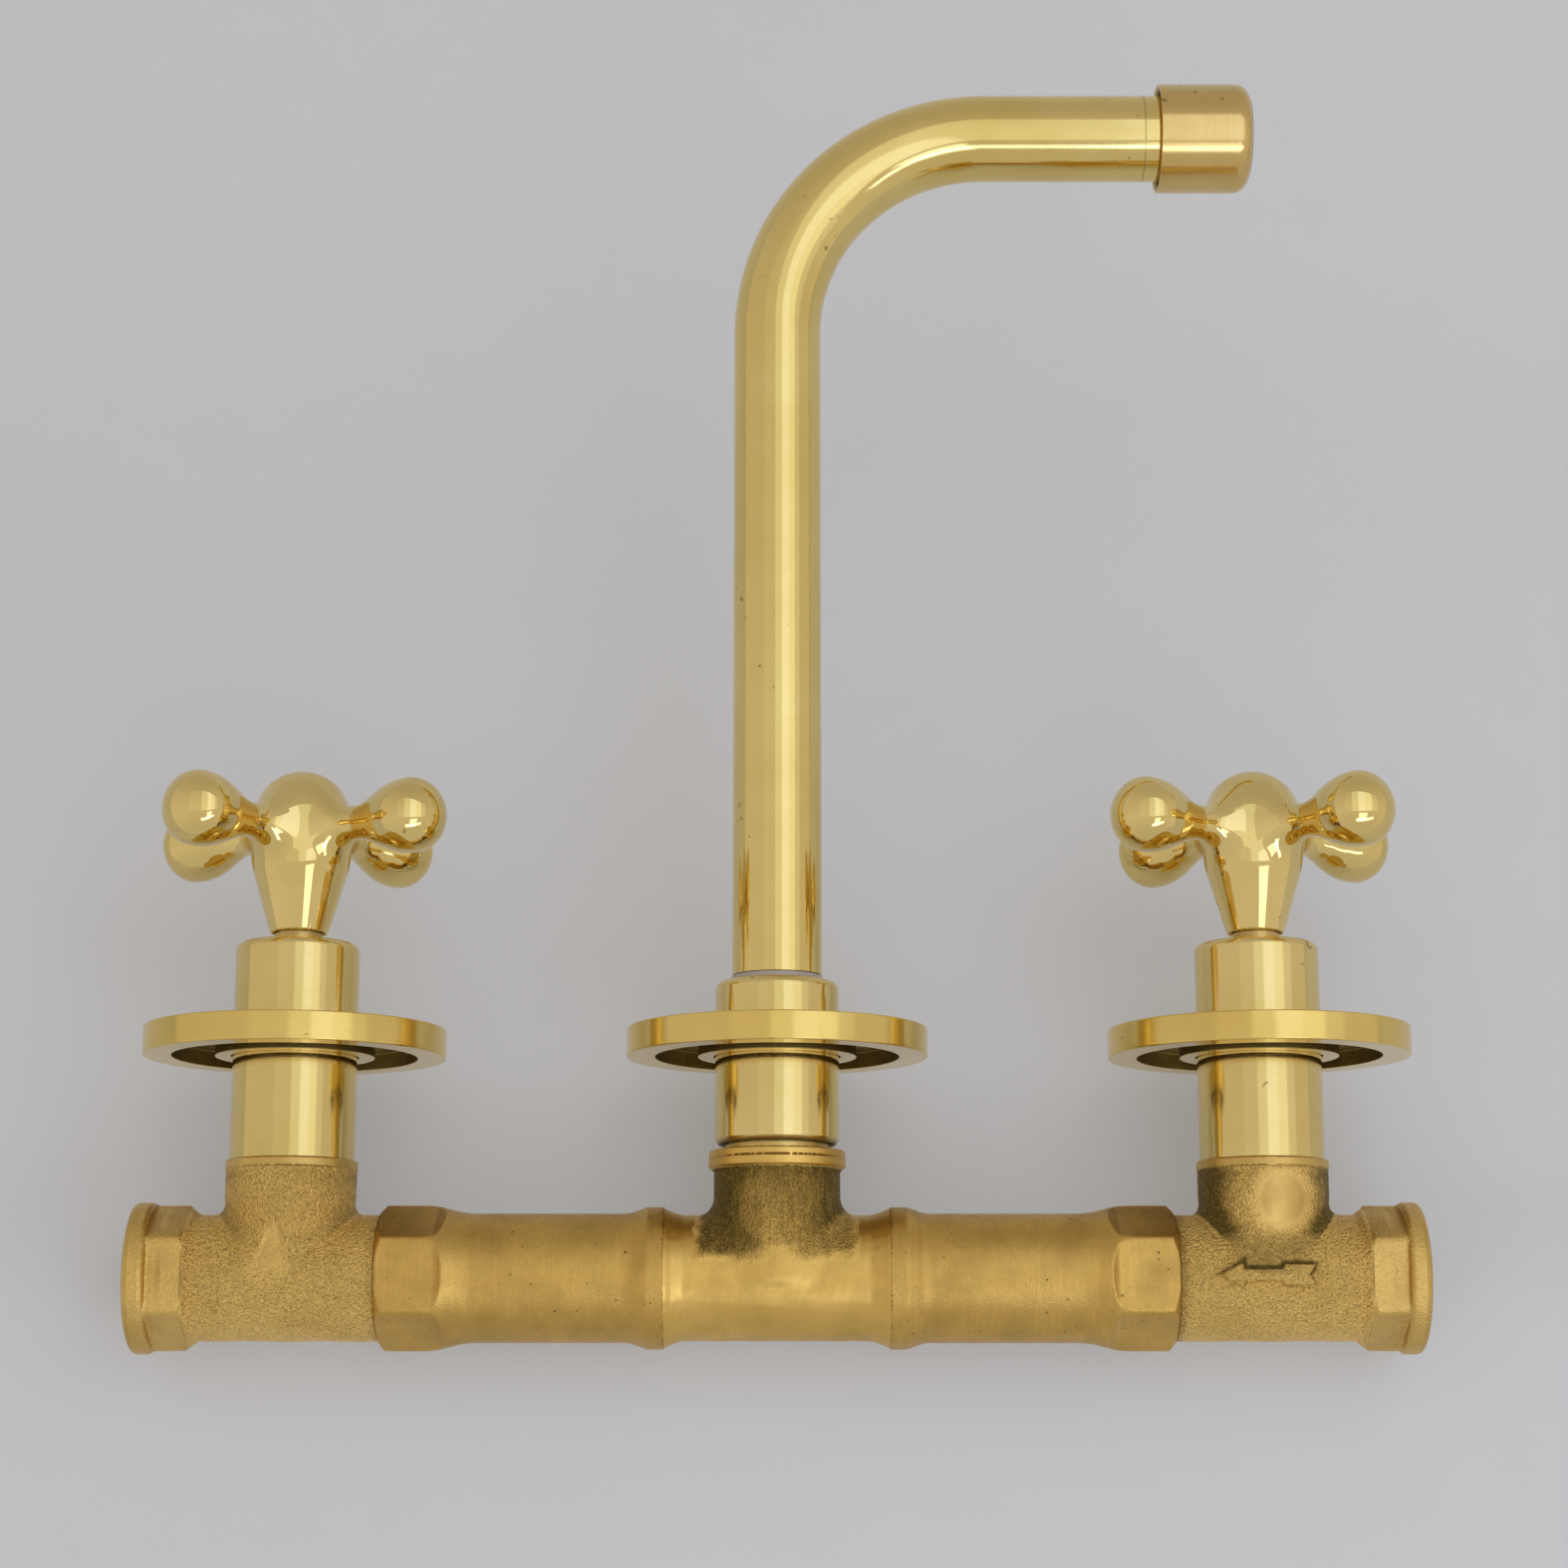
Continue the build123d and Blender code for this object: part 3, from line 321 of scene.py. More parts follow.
class Recipe:
    """A material's node tree, with short ways to add nodes and mix what they give."""

    def __init__(self, name, metallic=1.0):
        self.mat = bpy.data.materials.new(name)
        self.mat.use_nodes = True
        self.nt = self.mat.node_tree
        self.shader = self.nt.nodes["Principled BSDF"]
        self.shader.inputs["Metallic"].default_value = metallic
        self.where = self.add("TexCoord").outputs["Object"]
        self.normal = None

    def add(self, kind, *links, **values):
        n = self.nt.nodes.new("ShaderNode" + kind)
        for key, value in values.items():
            n.inputs[key.replace("_", " ")].default_value = value
        for source, key in links:
            self.nt.links.new(source, n.inputs[key])
        return n

    def feed(self, socket, value):
        """Gives a socket a number, a colour or another node's result."""
        if isinstance(value, tuple):
            socket.default_value = (*value, 1)
        elif not isinstance(value, (int, float)):
            self.nt.links.new(value, socket)
        elif socket.type == "RGBA":
            socket.default_value = (value,) * 3 + (1,)
        else:
            socket.default_value = value

    def noise(self, scale, detail=3.0, rough=0.55, stretch=None):
        where = self.where
        if stretch:
            where = self.add("Mapping", (where, "Vector"), Scale=stretch).outputs["Vector"]
        n = self.add("TexNoise", (where, "Vector"), Scale=scale, Detail=detail, Roughness=rough)
        return n.outputs["Fac"]

    def ramp(self, source, stops):
        n = self.add("ValToRGB", (source, "Fac"))
        e = n.color_ramp.elements
        while len(e) < len(stops):
            e.new(0.5)
        for item, (pos, colour) in zip(e, stops):
            item.position = pos
            item.color = (colour,) * 3 + (1,) if isinstance(colour, (int, float)) else (*colour, 1)
        return n.outputs["Color"]

    def mix(self, factor, a, b, blend="MIX"):
        n = self.nt.nodes.new("ShaderNodeMix")
        n.data_type = "RGBA"
        n.blend_type = blend
        for number, value in ((0, factor), (6, a), (7, b)):
            self.feed(n.inputs[number], value)
        return n.outputs[2]

    def math(self, kind, a, b, clamp=False):
        n = self.nt.nodes.new("ShaderNodeMath")
        n.operation = kind
        n.use_clamp = clamp
        self.feed(n.inputs[0], a)
        self.feed(n.inputs[1], b)
        return n.outputs[0]

    def mark(self, name):
        n = self.nt.nodes.new("ShaderNodeAttribute")
        n.attribute_name = name
        return n.outputs["Fac"]

    def bump(self, height, distance, strength=1.0):
        n = self.add("Bump", (height, "Height"), Strength=strength, Distance=distance)
        if self.normal:
            self.nt.links.new(self.normal, n.inputs["Normal"])
        self.normal = n.outputs["Normal"]

    def done(self, colour, rough):
        self.feed(self.shader.inputs["Base Color"], colour)
        self.feed(self.shader.inputs["Roughness"], rough)
        self.feed(self.shader.inputs["Normal"], self.normal)
        return self.mat


# Dark old-brass colours. The polished marks use them for old brass and painted shade in recesses and gaps;
# the cast marks use them for tarnish and painted shade.
OLD_POLISH_AND_SHADE = [(0.35, (0.06, 0.042, 0.014)), (0.60, (0.17, 0.115, 0.036)), (0.78, (0.38, 0.26, 0.085))]
OLD_CAST_AND_SHADE = [(0.34, (0.052, 0.037, 0.007)), (0.54, (0.16, 0.11, 0.026)), (0.72, (0.39, 0.27, 0.072))]


def polished(name, base, rough, lines=None, spots=0.0):
    """Mirror-polished brass: faint clouding, hairlines, and a few specks of tarnish.

    lines is the hairlines' scale along X, Y and Z, and the old-brass mark says where brass is darkened and
    dull: old brass and painted shade in recesses and gaps."""
    m = Recipe(name)
    cloud = m.noise(45.0, 5.0, 0.6)
    pale = tuple(c * k for c, k in zip(base, (1.03, 1.03, 1.08)))
    deep = tuple(c * k for c, k in zip(base, (0.94, 0.92, 0.84)))
    colour = m.ramp(cloud, [(0.32, deep), (0.66, pale)])
    fine = m.noise(1300.0, 3.0, 0.6)
    rough_map = m.ramp(fine, [(0.3, rough * 0.8), (0.75, rough * 1.5)])
    if lines:
        scratch = m.noise(1.0, 3.0, 0.75, stretch=lines)
        rough_map = m.mix(1.0, rough_map, m.ramp(scratch, [(0.45, 0.0), (0.75, rough * 0.7)]), "ADD")
        m.bump(scratch, 0.000004, 0.35)
        colour = m.mix(m.ramp(scratch, [(0.5, 0.0), (0.8, 0.35)]), colour, deep)
    m.bump(m.noise(160.0, 2.0), 0.00003, 0.10)
    m.bump(fine, 0.00001, 0.12)
    speck = m.ramp(m.noise(420.0, 2.0, 0.5), [(0.70, 0.0), (0.73, 1.0)])
    patch = m.ramp(m.noise(38.0, 2.0), [(0.58 - spots, 0.0), (0.70 - spots, 0.75)])
    stain = m.mix(1.0, speck, patch, "MULTIPLY")
    colour = m.mix(stain, colour, (0.20, 0.13, 0.04))
    rough_map = m.mix(stain, rough_map, 0.4)
    # Old brass and painted shade in recesses and gaps where the mark says.
    patina_and_shade = m.mark("patina_and_shade")
    darkening_tone = m.ramp(m.noise(300.0, 5.0, 0.7), OLD_POLISH_AND_SHADE)
    colour = m.mix(patina_and_shade, colour, darkening_tone)
    rough_map = m.mix(patina_and_shade, rough_map, 0.42)
    return m.done(colour, rough_map)


def worked(name, base, deep, rough, grain, lines=None, line_depth=0.0, pits=0.5, contrast=0.5, streaks=None,
           shine=1.0):
    """Cast or machined brass: sand grain, tool lines, tarnish and painted shade where the marks say, and
    pits.

    lines and streaks are scales along X, Y and Z, for tool lines and for the ragged edge of the tarnish and
    painted shade. The mark ground says where the casting is ground smooth, and shine dims the colour there."""
    m = Recipe(name)
    cloud = m.noise(75.0, 6.0, 0.65)
    bright = tuple(min(1, 1.12 * c) for c in base)
    colour = m.ramp(cloud, [(0.30, deep), (0.58, base), (0.85, bright)])
    ground = m.mark("ground")
    sand = m.noise(2000.0, 2.5, 0.6)
    sharp = m.noise(3200.0, 2.0, 0.5)
    speckle = m.ramp(sand, [(0.30, 1 - contrast), (0.52, 1 - 0.08 * contrast), (0.72, 1 + 0.25 * contrast)])
    kept = m.math("MULTIPLY", m.math("SUBTRACT", 1.0, ground, True), grain, True)
    smooth = m.mix(1.0, colour, (shine, shine, shine), "MULTIPLY")
    colour = m.mix(kept, smooth, m.mix(1.0, colour, speckle, "MULTIPLY"))
    height = m.math("ADD", sand, m.math("MULTIPLY", sharp, 0.35))
    m.bump(m.math("MULTIPLY", height, kept), 0.0008)
    if lines:
        tool = m.noise(1.0, 4.0, 0.7, stretch=lines)
        m.bump(tool, line_depth, 0.6)
        colour = m.mix(m.ramp(tool, [(0.42, 0.35), (0.62, 0.0)]), colour, deep)
    ragged = m.noise(1.0, 5.0, 0.7, stretch=streaks) if streaks else m.noise(700.0, 6.0, 0.75)
    # Darkens where the mark says: real tarnish, and painted shade in creases, grooves, seams and bores,
    # under rings, on flanks and tops.
    edge = m.math("ADD", m.mark("tarnish_and_shade"), m.math("MULTIPLY", m.math("SUBTRACT", ragged, 0.5), 0.9))
    dark = m.ramp(edge, [(0.16, 0.0), (0.78, 0.92)])
    darkening_tone = m.ramp(m.noise(1900.0, 4.0, 0.7), OLD_CAST_AND_SHADE)
    colour = m.mix(dark, colour, darkening_tone)
    hole = m.ramp(m.noise(950.0, 1.5, 0.4), [(0.70, 0.0), (0.74, 1.0)])
    where = m.ramp(m.noise(70.0, 3.0), [(0.66 - 0.16 * pits, 0.0), (0.74 - 0.16 * pits, 0.8)])
    where = m.mix(1.0, where, m.ramp(ground, [(0.8, 1.0), (0.95, 0.0)]), "MULTIPLY")
    hole = m.mix(1.0, hole, where, "MULTIPLY")
    m.bump(m.math("MULTIPLY", hole, -1.0), 0.00008, 0.7)
    colour = m.mix(hole, colour, (0.09, 0.06, 0.02))
    even = m.ramp(cloud, [(0.3, rough + 0.06), (0.7, rough - 0.03)])
    dulled = m.mix(1.0, dark, 0.15, "MULTIPLY")
    return m.done(colour, m.mix(1.0, even, dulled, "ADD"))


def plain(name, base, rough, grain_size=900.0, depth=0.00002, tint=0.85, metallic=0.0, sheen=None):
    """A stock that isn't brass: a little mottling, a fine grain, and turning lines if sheen scales them."""
    m = Recipe(name, metallic)
    cloud = m.noise(grain_size / 8, 5.0, 0.6)
    colour = m.ramp(cloud, [(0.3, tuple(c * tint for c in base)), (0.7, base)])
    fine = m.noise(grain_size, 3.0, 0.6)
    m.bump(fine, depth, 0.5)
    if sheen:
        lines = m.noise(1.0, 4.0, 0.7, stretch=sheen)
        m.bump(lines, depth / 2, 0.5)
    return m.done(colour, m.ramp(fine, [(0.3, max(0.02, rough - 0.06)), (0.7, min(1, rough + 0.08))]))


BRIGHT = polished("polished_brass_handle", (0.82, 0.64, 0.25), 0.035, spots=0.02)
SLEEVED = polished("polished_brass_turned", (0.78, 0.61, 0.235), 0.085, (60.0, 3200.0, 60.0), 0.03)
PLATED = polished("polished_brass_plate", (0.79, 0.585, 0.18), 0.11, (90.0, 2600.0, 90.0), 0.05)
TUBED = polished("polished_brass_tube", (0.80, 0.62, 0.225), 0.075, (900.0, 500.0, 900.0), 0.02)
CAPPED = polished("polished_brass_cap", (0.72, 0.515, 0.19), 0.13, (2600.0, 90.0, 90.0), 0.05)
CAST = worked("cast_brass", (0.92, 0.625, 0.19), (0.79, 0.525, 0.15), 0.37, grain=1.0,
              pits=0.25, contrast=0.42, shine=0.74)
GROUND = worked("machined_brass", (0.68, 0.44, 0.115), (0.50, 0.31, 0.08), 0.40, grain=0.35,
                lines=(2600.0, 120.0, 120.0), line_depth=0.00003, pits=0.9)
TEED = worked("cast_brass_tee", (0.85, 0.56, 0.155), (0.66, 0.43, 0.11), 0.38, grain=1.0,
              lines=(2600.0, 120.0, 120.0), line_depth=0.00002, contrast=0.55,
              streaks=(1100.0, 140.0, 1100.0), shine=0.9)
TURNED = worked("turned_brass", (0.70, 0.50, 0.17), (0.42, 0.29, 0.09), 0.28, grain=0.05,
                lines=(90.0, 2600.0, 90.0), line_depth=0.00002, pits=0.2)
RUBBER = plain("black_rubber", (0.022, 0.022, 0.023), 0.55, 1600.0, 0.00003)
CERAMIC = plain("ceramic", (0.86, 0.85, 0.81), 0.22, 2400.0, 0.000004, 0.96)
FIBRE = plain("fibre_washer", (0.30, 0.10, 0.06), 0.8, 700.0, 0.00006, 0.7)
NYLON = plain("pale_nylon", (0.50, 0.455, 0.42), 0.25, 800.0, 0.00001, 0.9)
STEEL = plain("stainless_steel", (0.56, 0.56, 0.57), 0.24, 1800.0, 0.00001, 0.9, 1.0, (70.0, 2400.0, 70.0))
DARK = plain("dark_plastic", (0.035, 0.035, 0.038), 0.38, 1500.0, 0.00002)


# Handles

# A knob is a ball whose outer end is a flatter face. FACE_R makes the face meet the rim in one slope.
KNOB, KNOB_R, KNOB_END, RIM_R = 31.3, 7.9, 38.0, 5.6
FACE_R = ((KNOB_END - KNOB) ** 2 + (KNOB_R - RIM_R) ** 2 - RIM_R**2) / (KNOB_END - KNOB - RIM_R) / 2
ARM_KNOTS = [(-1, 4.3), (9, 4.25), (13, 3.85), (16.5, 3.7), (20, 4.6), (23.6, 6.15), (27.2, 7.42),
             (30.0, 7.87), (33, KNOB_R)]

HUB_FOOT = 72.3
DOME, DOME_R = 97.1, 10.4
HUB_KNOTS = [(60, 1.8), (HUB_FOOT, 6.0), (80.9, 8.6), (88, 10.45), (93, 10.75), (97.5, 10.35), (120, 10.35)]
# The stepped bore from below: each step's radius and top, the rounding of its top and of its mouth
HUB_BORES = [(5.5, 73.6, 0.2, 0.15), (5.05, 74.8, 0.1, 0.1), (4.05, 94.5, 0.1, 0.1)]
GRUB_HEIGHT, GRUB_R = 78.3, 1.55


def arm(u, w):
    """One arm along u, w away from its axis: a waist that widens like a trumpet into the knob."""
    rim_w = KNOB_R - RIM_R
    face_u = KNOB_END - FACE_R
    rim = np.hypot(u - KNOB, w - rim_w) - RIM_R
    face = np.hypot(u - face_u, w) - FACE_R
    past = (u - KNOB) * rim_w - (w - rim_w) * (KNOB - face_u) > 0
    knob = np.where(past, face, rim)
    neck = (w - curve_radius(u, ARM_KNOTS)) * 0.9
    return np.where(u < KNOB, neck, knob)


def hub(rho, z):
    """The hub: a slightly swelling cone under a dome."""
    side = (rho - curve_radius(z, HUB_KNOTS)) * 0.95
    dome = np.hypot(rho, z - DOME) - DOME_R
    body = np.where(z > DOME, dome, side)
    return meet(body, HUB_FOOT - z, 0.35)


def handle(x, y, z):
    """A cross handle: the hub, two bars of arms through it, its stepped bore and its grub screw's hole."""
    rho = np.hypot(x, y)
    solid = hub(rho, z)
    for turn in (45, 135):
        c, s = math.cos(math.radians(turn)), math.sin(math.radians(turn))
        along = np.abs(c * x + s * y)
        across = -s * x + c * y
        solid = join(solid, arm(along, np.hypot(across, z - ARM)), 4.5)
    for radius, top, end, mouth in HUB_BORES:
        solid = cut(solid, rod(rho, z, radius, 60, top, end), mouth)
    grub = np.where(x > 0, np.hypot(y, z - GRUB_HEIGHT) - GRUB_R, 5.0)
    return cut(solid, grub, 0.15)


HANDLE = net(handle, (-39, -39, 71.5), (39, 39, 109))
for side, (offset, _) in SIDES.items():
    piece(f"cross_handle_{side}", HANDLE, stack(offset, HANDLE_TURNS[side]), f"{side}_handle",
          BRIGHT, [f"handle_{side}"])


# Sleeves, wall plates and collar

# The sleeves stand on the valve bodies' necks. Their crowns and the collar's are equally thick.
NECK_TOP = 24.2
SLEEVE_R, SLEEVE_BORE, SLEEVE_TOP = 13.05, 11.75, 70.2
CROWN, CROWN_EDGE = 3.5, 1.8
STEM_HOLE = 5.08
COLLAR_BORE, COLLAR_FOOT, COLLAR_TOP = 10.95, 27.6, 62
BUSH_BORE, BUSH_R, BUSH_RIM, BUSH_TOP = 8.03, 8.73, 9.75, 63.2

# The wall plates' backs lie at the wall's face, with a recess between the rim and the boss.
PLATE_R, PLATE_BORE, PLATE_TOP = 31.75, 13.35, DEPTH + 6
BOSS_R, RECESS_R, RECESS_TOP = 16.7, 25.7, DEPTH + 3.5

SLEEVE = lathe([
    (SLEEVE_BORE, NECK_TOP), (SLEEVE_R, NECK_TOP, 0.15), (SLEEVE_R, SLEEVE_TOP, CROWN_EDGE),
    (STEM_HOLE, SLEEVE_TOP, 0.2), (STEM_HOLE, SLEEVE_TOP - CROWN), (SLEEVE_BORE, SLEEVE_TOP - CROWN),
])
PLATE = lathe([
    (PLATE_BORE, DEPTH, 0.3), (BOSS_R, DEPTH, 0.2), (BOSS_R, RECESS_TOP, 0.3), (RECESS_R, RECESS_TOP, 0.3),
    (RECESS_R, DEPTH, 0.2), (PLATE_R, DEPTH, 0.35), (PLATE_R, PLATE_TOP, 0.35), (PLATE_BORE, PLATE_TOP, 0.3),
], 256)
COLLAR = lathe([
    (COLLAR_BORE, COLLAR_FOOT + 3), (11.9, COLLAR_FOOT), (12.3, COLLAR_FOOT, 0.15),
    (SLEEVE_R, COLLAR_FOOT + 1.1, 0.15), (SLEEVE_R, COLLAR_TOP, CROWN_EDGE), (BUSH_R, COLLAR_TOP),
    (BUSH_R, COLLAR_TOP - CROWN), (COLLAR_BORE, COLLAR_TOP - CROWN),
])
BUSH = lathe([
    (BUSH_BORE, COLLAR_TOP - CROWN), (BUSH_R, COLLAR_TOP - CROWN), (BUSH_R, COLLAR_TOP),
    (BUSH_RIM, COLLAR_TOP, 0.2), (BUSH_RIM, BUSH_TOP, 0.3), (BUSH_BORE, BUSH_TOP),
])


def plate_marks():
    """Old brass and painted shade in the recess of a wall plate's back."""
    rho, height = round_distance(PLATE), PLATE[0][:, 2]
    recess = np.clip((rho - BOSS_R + 0.1) / 0.1, 0, 1) * np.clip((RECESS_R + 0.1 - rho) / 0.1, 0, 1)
    return {"patina_and_shade": recess * (height < PLATE_TOP - 1) * 0.75}


def collar_marks():
    """Painted shadow inside the collar's foot and on its bevel, in the colour of old brass."""
    rho, height = round_distance(COLLAR), COLLAR[0][:, 2]
    return {"patina_and_shade": 0.85 * ((rho < SLEEVE_R - 0.05) & (height < 40))}


for side, (offset, _) in SIDES.items():
    piece(f"sleeve_{side}", SLEEVE, stack(offset), "manifold", SLEEVED,
          [f"valve_sleeve_{side}"])
    piece(f"plate_{side}", PLATE, stack(offset), f"{side}_wall_plate", PLATED,
          [f"escutcheon_{side}"], plate_marks())
piece("plate_spout", PLATE, stack(0), "spout_wall_plate", PLATED, ["escutcheon_spout"],
      plate_marks())
piece("collar", COLLAR, stack(0), "manifold", SLEEVED, ["spout_collar"], collar_marks())
piece("bush", BUSH, stack(0), "manifold", NYLON, ["spout_bush"])


# Spout

TUBE_R, TUBE_BORE, TUBE_FOOT, BEND = 9.5, 8.3, 63.4, 46
CAP_R, CAP_BORE, CAP_START, CAP_END = 12.0, 11.1, 84.7, 105.1
MOUTH_R, LIP = 8.9, 2.4


def bent_tube(radius, bore, bend, start, reach, sides=144):
    """The spout tube: up from start, a quarter bend and a leg to reach, with its bore and its ends."""
    path = [(0.0, start, 0.0), (0.0, LEG - bend, 0.0)]
    for k in range(1, 46):
        a = math.radians(2 * k)
        path.append((bend * (1 - math.cos(a)), LEG - bend + bend * math.sin(a), a))
    path += [(reach - back, LEG, math.pi / 2) for back in (0.35, 0.25, 0)]
    angle = 2 * math.pi * np.arange(sides) / sides
    verts, normals = [], []
    for r, sign in ((radius, 1), (bore, -1)):
        for px, pz, a in path:
            nx, nz = math.cos(a), -math.sin(a)
            ring = np.stack([np.cos(angle) * nx, np.sin(angle), np.cos(angle) * nz], 1)
            verts.append(ring * r + [px, 0, pz])
            normals.append(sign * ring)
    rings = len(path)
    faces, corner = [], []
    j = np.arange(sides)
    k = (j + 1) % sides
    for wall in (0, 1):
        for i in range(rings - 1):
            a, b = wall * rings + i, wall * rings + i + 1
            quad = [(a, j), (a, k), (b, k), (b, j)]
            if wall:
                quad.reverse()
            faces.append(np.stack([q * sides + m for q, m in quad], 1))
            corner.append(np.stack([normals[q][m] for q, m in quad], 1))
    for i, d, flip in ((0, (0, 0, -1), False), (rings - 1, (1, 0, 0), True)):
        quad = [(rings + i, j), (rings + i, k), (i, k), (i, j)]
        if flip:
            quad.reverse()
        faces.append(np.stack([q * sides + m for q, m in quad], 1))
        corner.append(np.tile(np.array(d, float), (sides, 4, 1)))
    return np.concatenate(verts), np.concatenate(faces), np.concatenate(corner).reshape(-1, 3)


TUBE = bent_tube(TUBE_R, TUBE_BORE, BEND, TUBE_FOOT, REACH)
CAP = lathe([
    (CAP_BORE, CAP_START + 0.9), (11.6, CAP_START), (CAP_R, CAP_START, 0.15), (CAP_R, CAP_END, 3.4),
    (MOUTH_R, CAP_END, 0.3), (MOUTH_R, CAP_END - LIP), (CAP_BORE, CAP_END - LIP),
])
# The tube's end under the cap is darkened as painted shade in the gap.
piece("tube", TUBE, stack(0, 180), "spout", TUBED, ["spout_tube"],
      {"patina_and_shade": 0.45 * (TUBE[0][:, 0] > REACH - 0.3)})
# The cap's rear bore is darkened as painted shade inside the opening.
piece("cap", CAP, outlet, "spout", CAPPED, ["aerator_cap"],
      {"patina_and_shade": 0.95 * ((round_distance(CAP) < CAP_BORE + 0.2) & (CAP[0][:, 2] < 100))})


# Valve bodies: the barrel lies along x with the inlet at +x, and the neck stands along z

BARREL_R, BARREL_END = 13.0, -19.8
HEX_R, HEX_ACROSS, HEX_MIDDLE, HEX_HALF = 15.0, 26.6, 23.6, 4.4
FLANGE_R, FLANGE_START, INLET_FACE = 15.6, 27.5, 32.0
NECK_R, NECK_RING_R, NECK_RING = 13.6, 13.75, 22.1
NECK_KNOTS = [(-9, 12.2), (3, 12.3), (8, 12.6), (15, 13.45), (18, NECK_R), (40, NECK_R)]
SPIGOT_R, SPIGOT_TOP = 11.7, 32
PLUG_R, PLUG_END = 10.43, -30.6
SAND_TOP = 21.5

# The inlet's thread
THREAD_R, THREAD_PITCH, THREAD_DEPTH = 10.48, 1.814, 0.42

# The cast arrow: its tip, the ends of its head, shaft and tail along x, and half its widths along z
ARROW_TIP, HEAD_BACK = -10.7, -6.45
SHAFT_MIDDLE, SHAFT_HALF, SHAFT_WIDTH = -2.0, 5.4, 1.0
TAIL_START, TAIL_END, TAIL_WIDTH, NOTCH = 1.5, 8.2, 1.95, 6.9


def hexagon(y, z, across):
    """A hexagonal prism along x with a flat facing the arrow's side."""
    far = np.full(np.shape(y), -1e9)
    for turn in (0, 60, 120):
        a = math.radians(turn)
        far = np.maximum(far, np.abs(y * math.cos(a) + z * math.sin(a)) - across / 2)
    return far


def arrow(x, z):
    """The arrow's outline on the barrel's side, pointing along -x."""
    head = np.maximum(x - HEAD_BACK, (ARROW_TIP - x) * 0.48 + np.abs(z) * 0.88)
    shaft = np.maximum(np.abs(x - SHAFT_MIDDLE) - SHAFT_HALF, np.abs(z) - SHAFT_WIDTH)
    tail = np.maximum(x - TAIL_END, TAIL_START - x + 0.25 * np.abs(z))
    tail = np.maximum(np.abs(z) - TAIL_WIDTH, tail)
    notch = (NOTCH - x) * 0.84 + np.abs(z) * 0.55
    tail = np.maximum(tail, -notch)
    return np.minimum(np.minimum(head, shaft), tail)


def valve_body_outside(x, y, z):
    """The casting without its bores: barrel, inlet hexagon and flange, neck, arrow and plug."""
    rho, neck_rho = np.hypot(y, z), np.hypot(x, y)
    barrel = rod(rho, x, BARREL_R, BARREL_END, 24, 0.1)
    nut = meet(rho - HEX_R, hexagon(y, z, HEX_ACROSS), 0.35)
    nut = meet(nut, np.abs(x - HEX_MIDDLE) - HEX_HALF, 0.5)
    nut = meet(nut, (rho - 14.9) * 0.6 + (20.6 - x) * 0.8, 0.3)
    barrel = join(barrel, nut, 1.6)
    barrel = join(barrel, rod(rho, x, FLANGE_R, FLANGE_START, INLET_FACE, 1.2), 0.5)
    neck = meet(neck_rho - curve_radius(z, NECK_KNOTS), np.abs(z - 10) - 12.0, 0.3)
    solid = join(barrel, np.maximum(neck, -z), 2.6)
    solid = join(solid, rod(neck_rho, z, NECK_RING_R, NECK_RING, NECK_TOP, 0.3), 0.4)
    solid = np.minimum(solid, rod(neck_rho, z, SPIGOT_R, 20, SPIGOT_TOP, 0.3))
    mark = meet(np.maximum(rho - 14.0, y), arrow(x, z) - 0.1, 0.25)
    solid = join(solid, mark, 0.2)
    return np.minimum(solid, rod(rho, x, PLUG_R, PLUG_END, -18, 0.5))


def valve_body_bores(x, y, z):
    """The threaded inlet, the low way to the cartridge's room, and the high way on to the outlet."""
    rho, neck_rho = np.hypot(y, z), np.hypot(x, y)
    turns = x / THREAD_PITCH - np.arctan2(z, y) / (2 * math.pi)
    ridge = (THREAD_DEPTH * (1 + np.cos(2 * math.pi * turns)) * np.clip(31.2 - x, 0, 1)
             * np.clip(x - 19.5, 0, 1))
    return np.minimum.reduce([
        rod(rho + ridge, x, THREAD_R, 17, 40, 0.1),
        rod(np.hypot(y, z + 6), x, 5.0, 0, 17.5, 0.1),
        rod(neck_rho, z, 5.0, -6, 1.2, 0.1),
        rod(neck_rho, z, 9.5, 1, 16.5, 0.1),
        rod(neck_rho, z, 10.48, 16, 40, 0.1),
        rod(np.hypot(y, z - 5.5), x, 5.0, -19.1, 0, 0.1),
        rod(rho, x, 7.0, -40, -16.1, 0.1),
    ])


def valve_body(x, y, z):
    """A valve body, with the sand casting's lumps where it isn't machined."""
    lumps = 0.06 * wave(x, y, z, 9.0, 3) + 0.025 * wave(x, y, z, 3.5, 4)
    cast_part = (z < SAND_TOP) & (x > -18.5) & (x < 31)
    fade = np.clip(SAND_TOP - z, 0, 1) * np.clip(x + 18.5, 0, 1)
    solid = valve_body_outside(x, y, z) + np.where(cast_part, lumps * fade, 0)
    return cut(solid, valve_body_bores(x, y, z), 0.25)


# Tee and connectors

TEE_KNOTS = [(-1, 12.95), (19.0, 12.95), (21.5, 13.55), (23.3, 14.25), (24.2, 14.3)]
TEE_HALF, TEE_PLUG_R, TEE_PLUG_HALF = 24.0, 11.0, 32.3
TEE_NECK_R, TEE_BORE = 13.2, 8.0
TEE_RING_R, TEE_RING, TEE_TOP = 14.35, 21.9, 26.3

PIPE_START, PIPE_END, PIPE_HEX = 23.3, 82.5, 26.4
PIPE_KNOTS = [
    (20, 14.65), (26.6, 14.65), (28.2, 14.2), (30.6, 13.4), (32.0, 13.3), (62.5, 13.3), (65.5, 13.6),
    (68.0, 14.2), (70.5, 14.78), (72.5, 14.98), (74.0, HEX_R), (90, HEX_R),
]


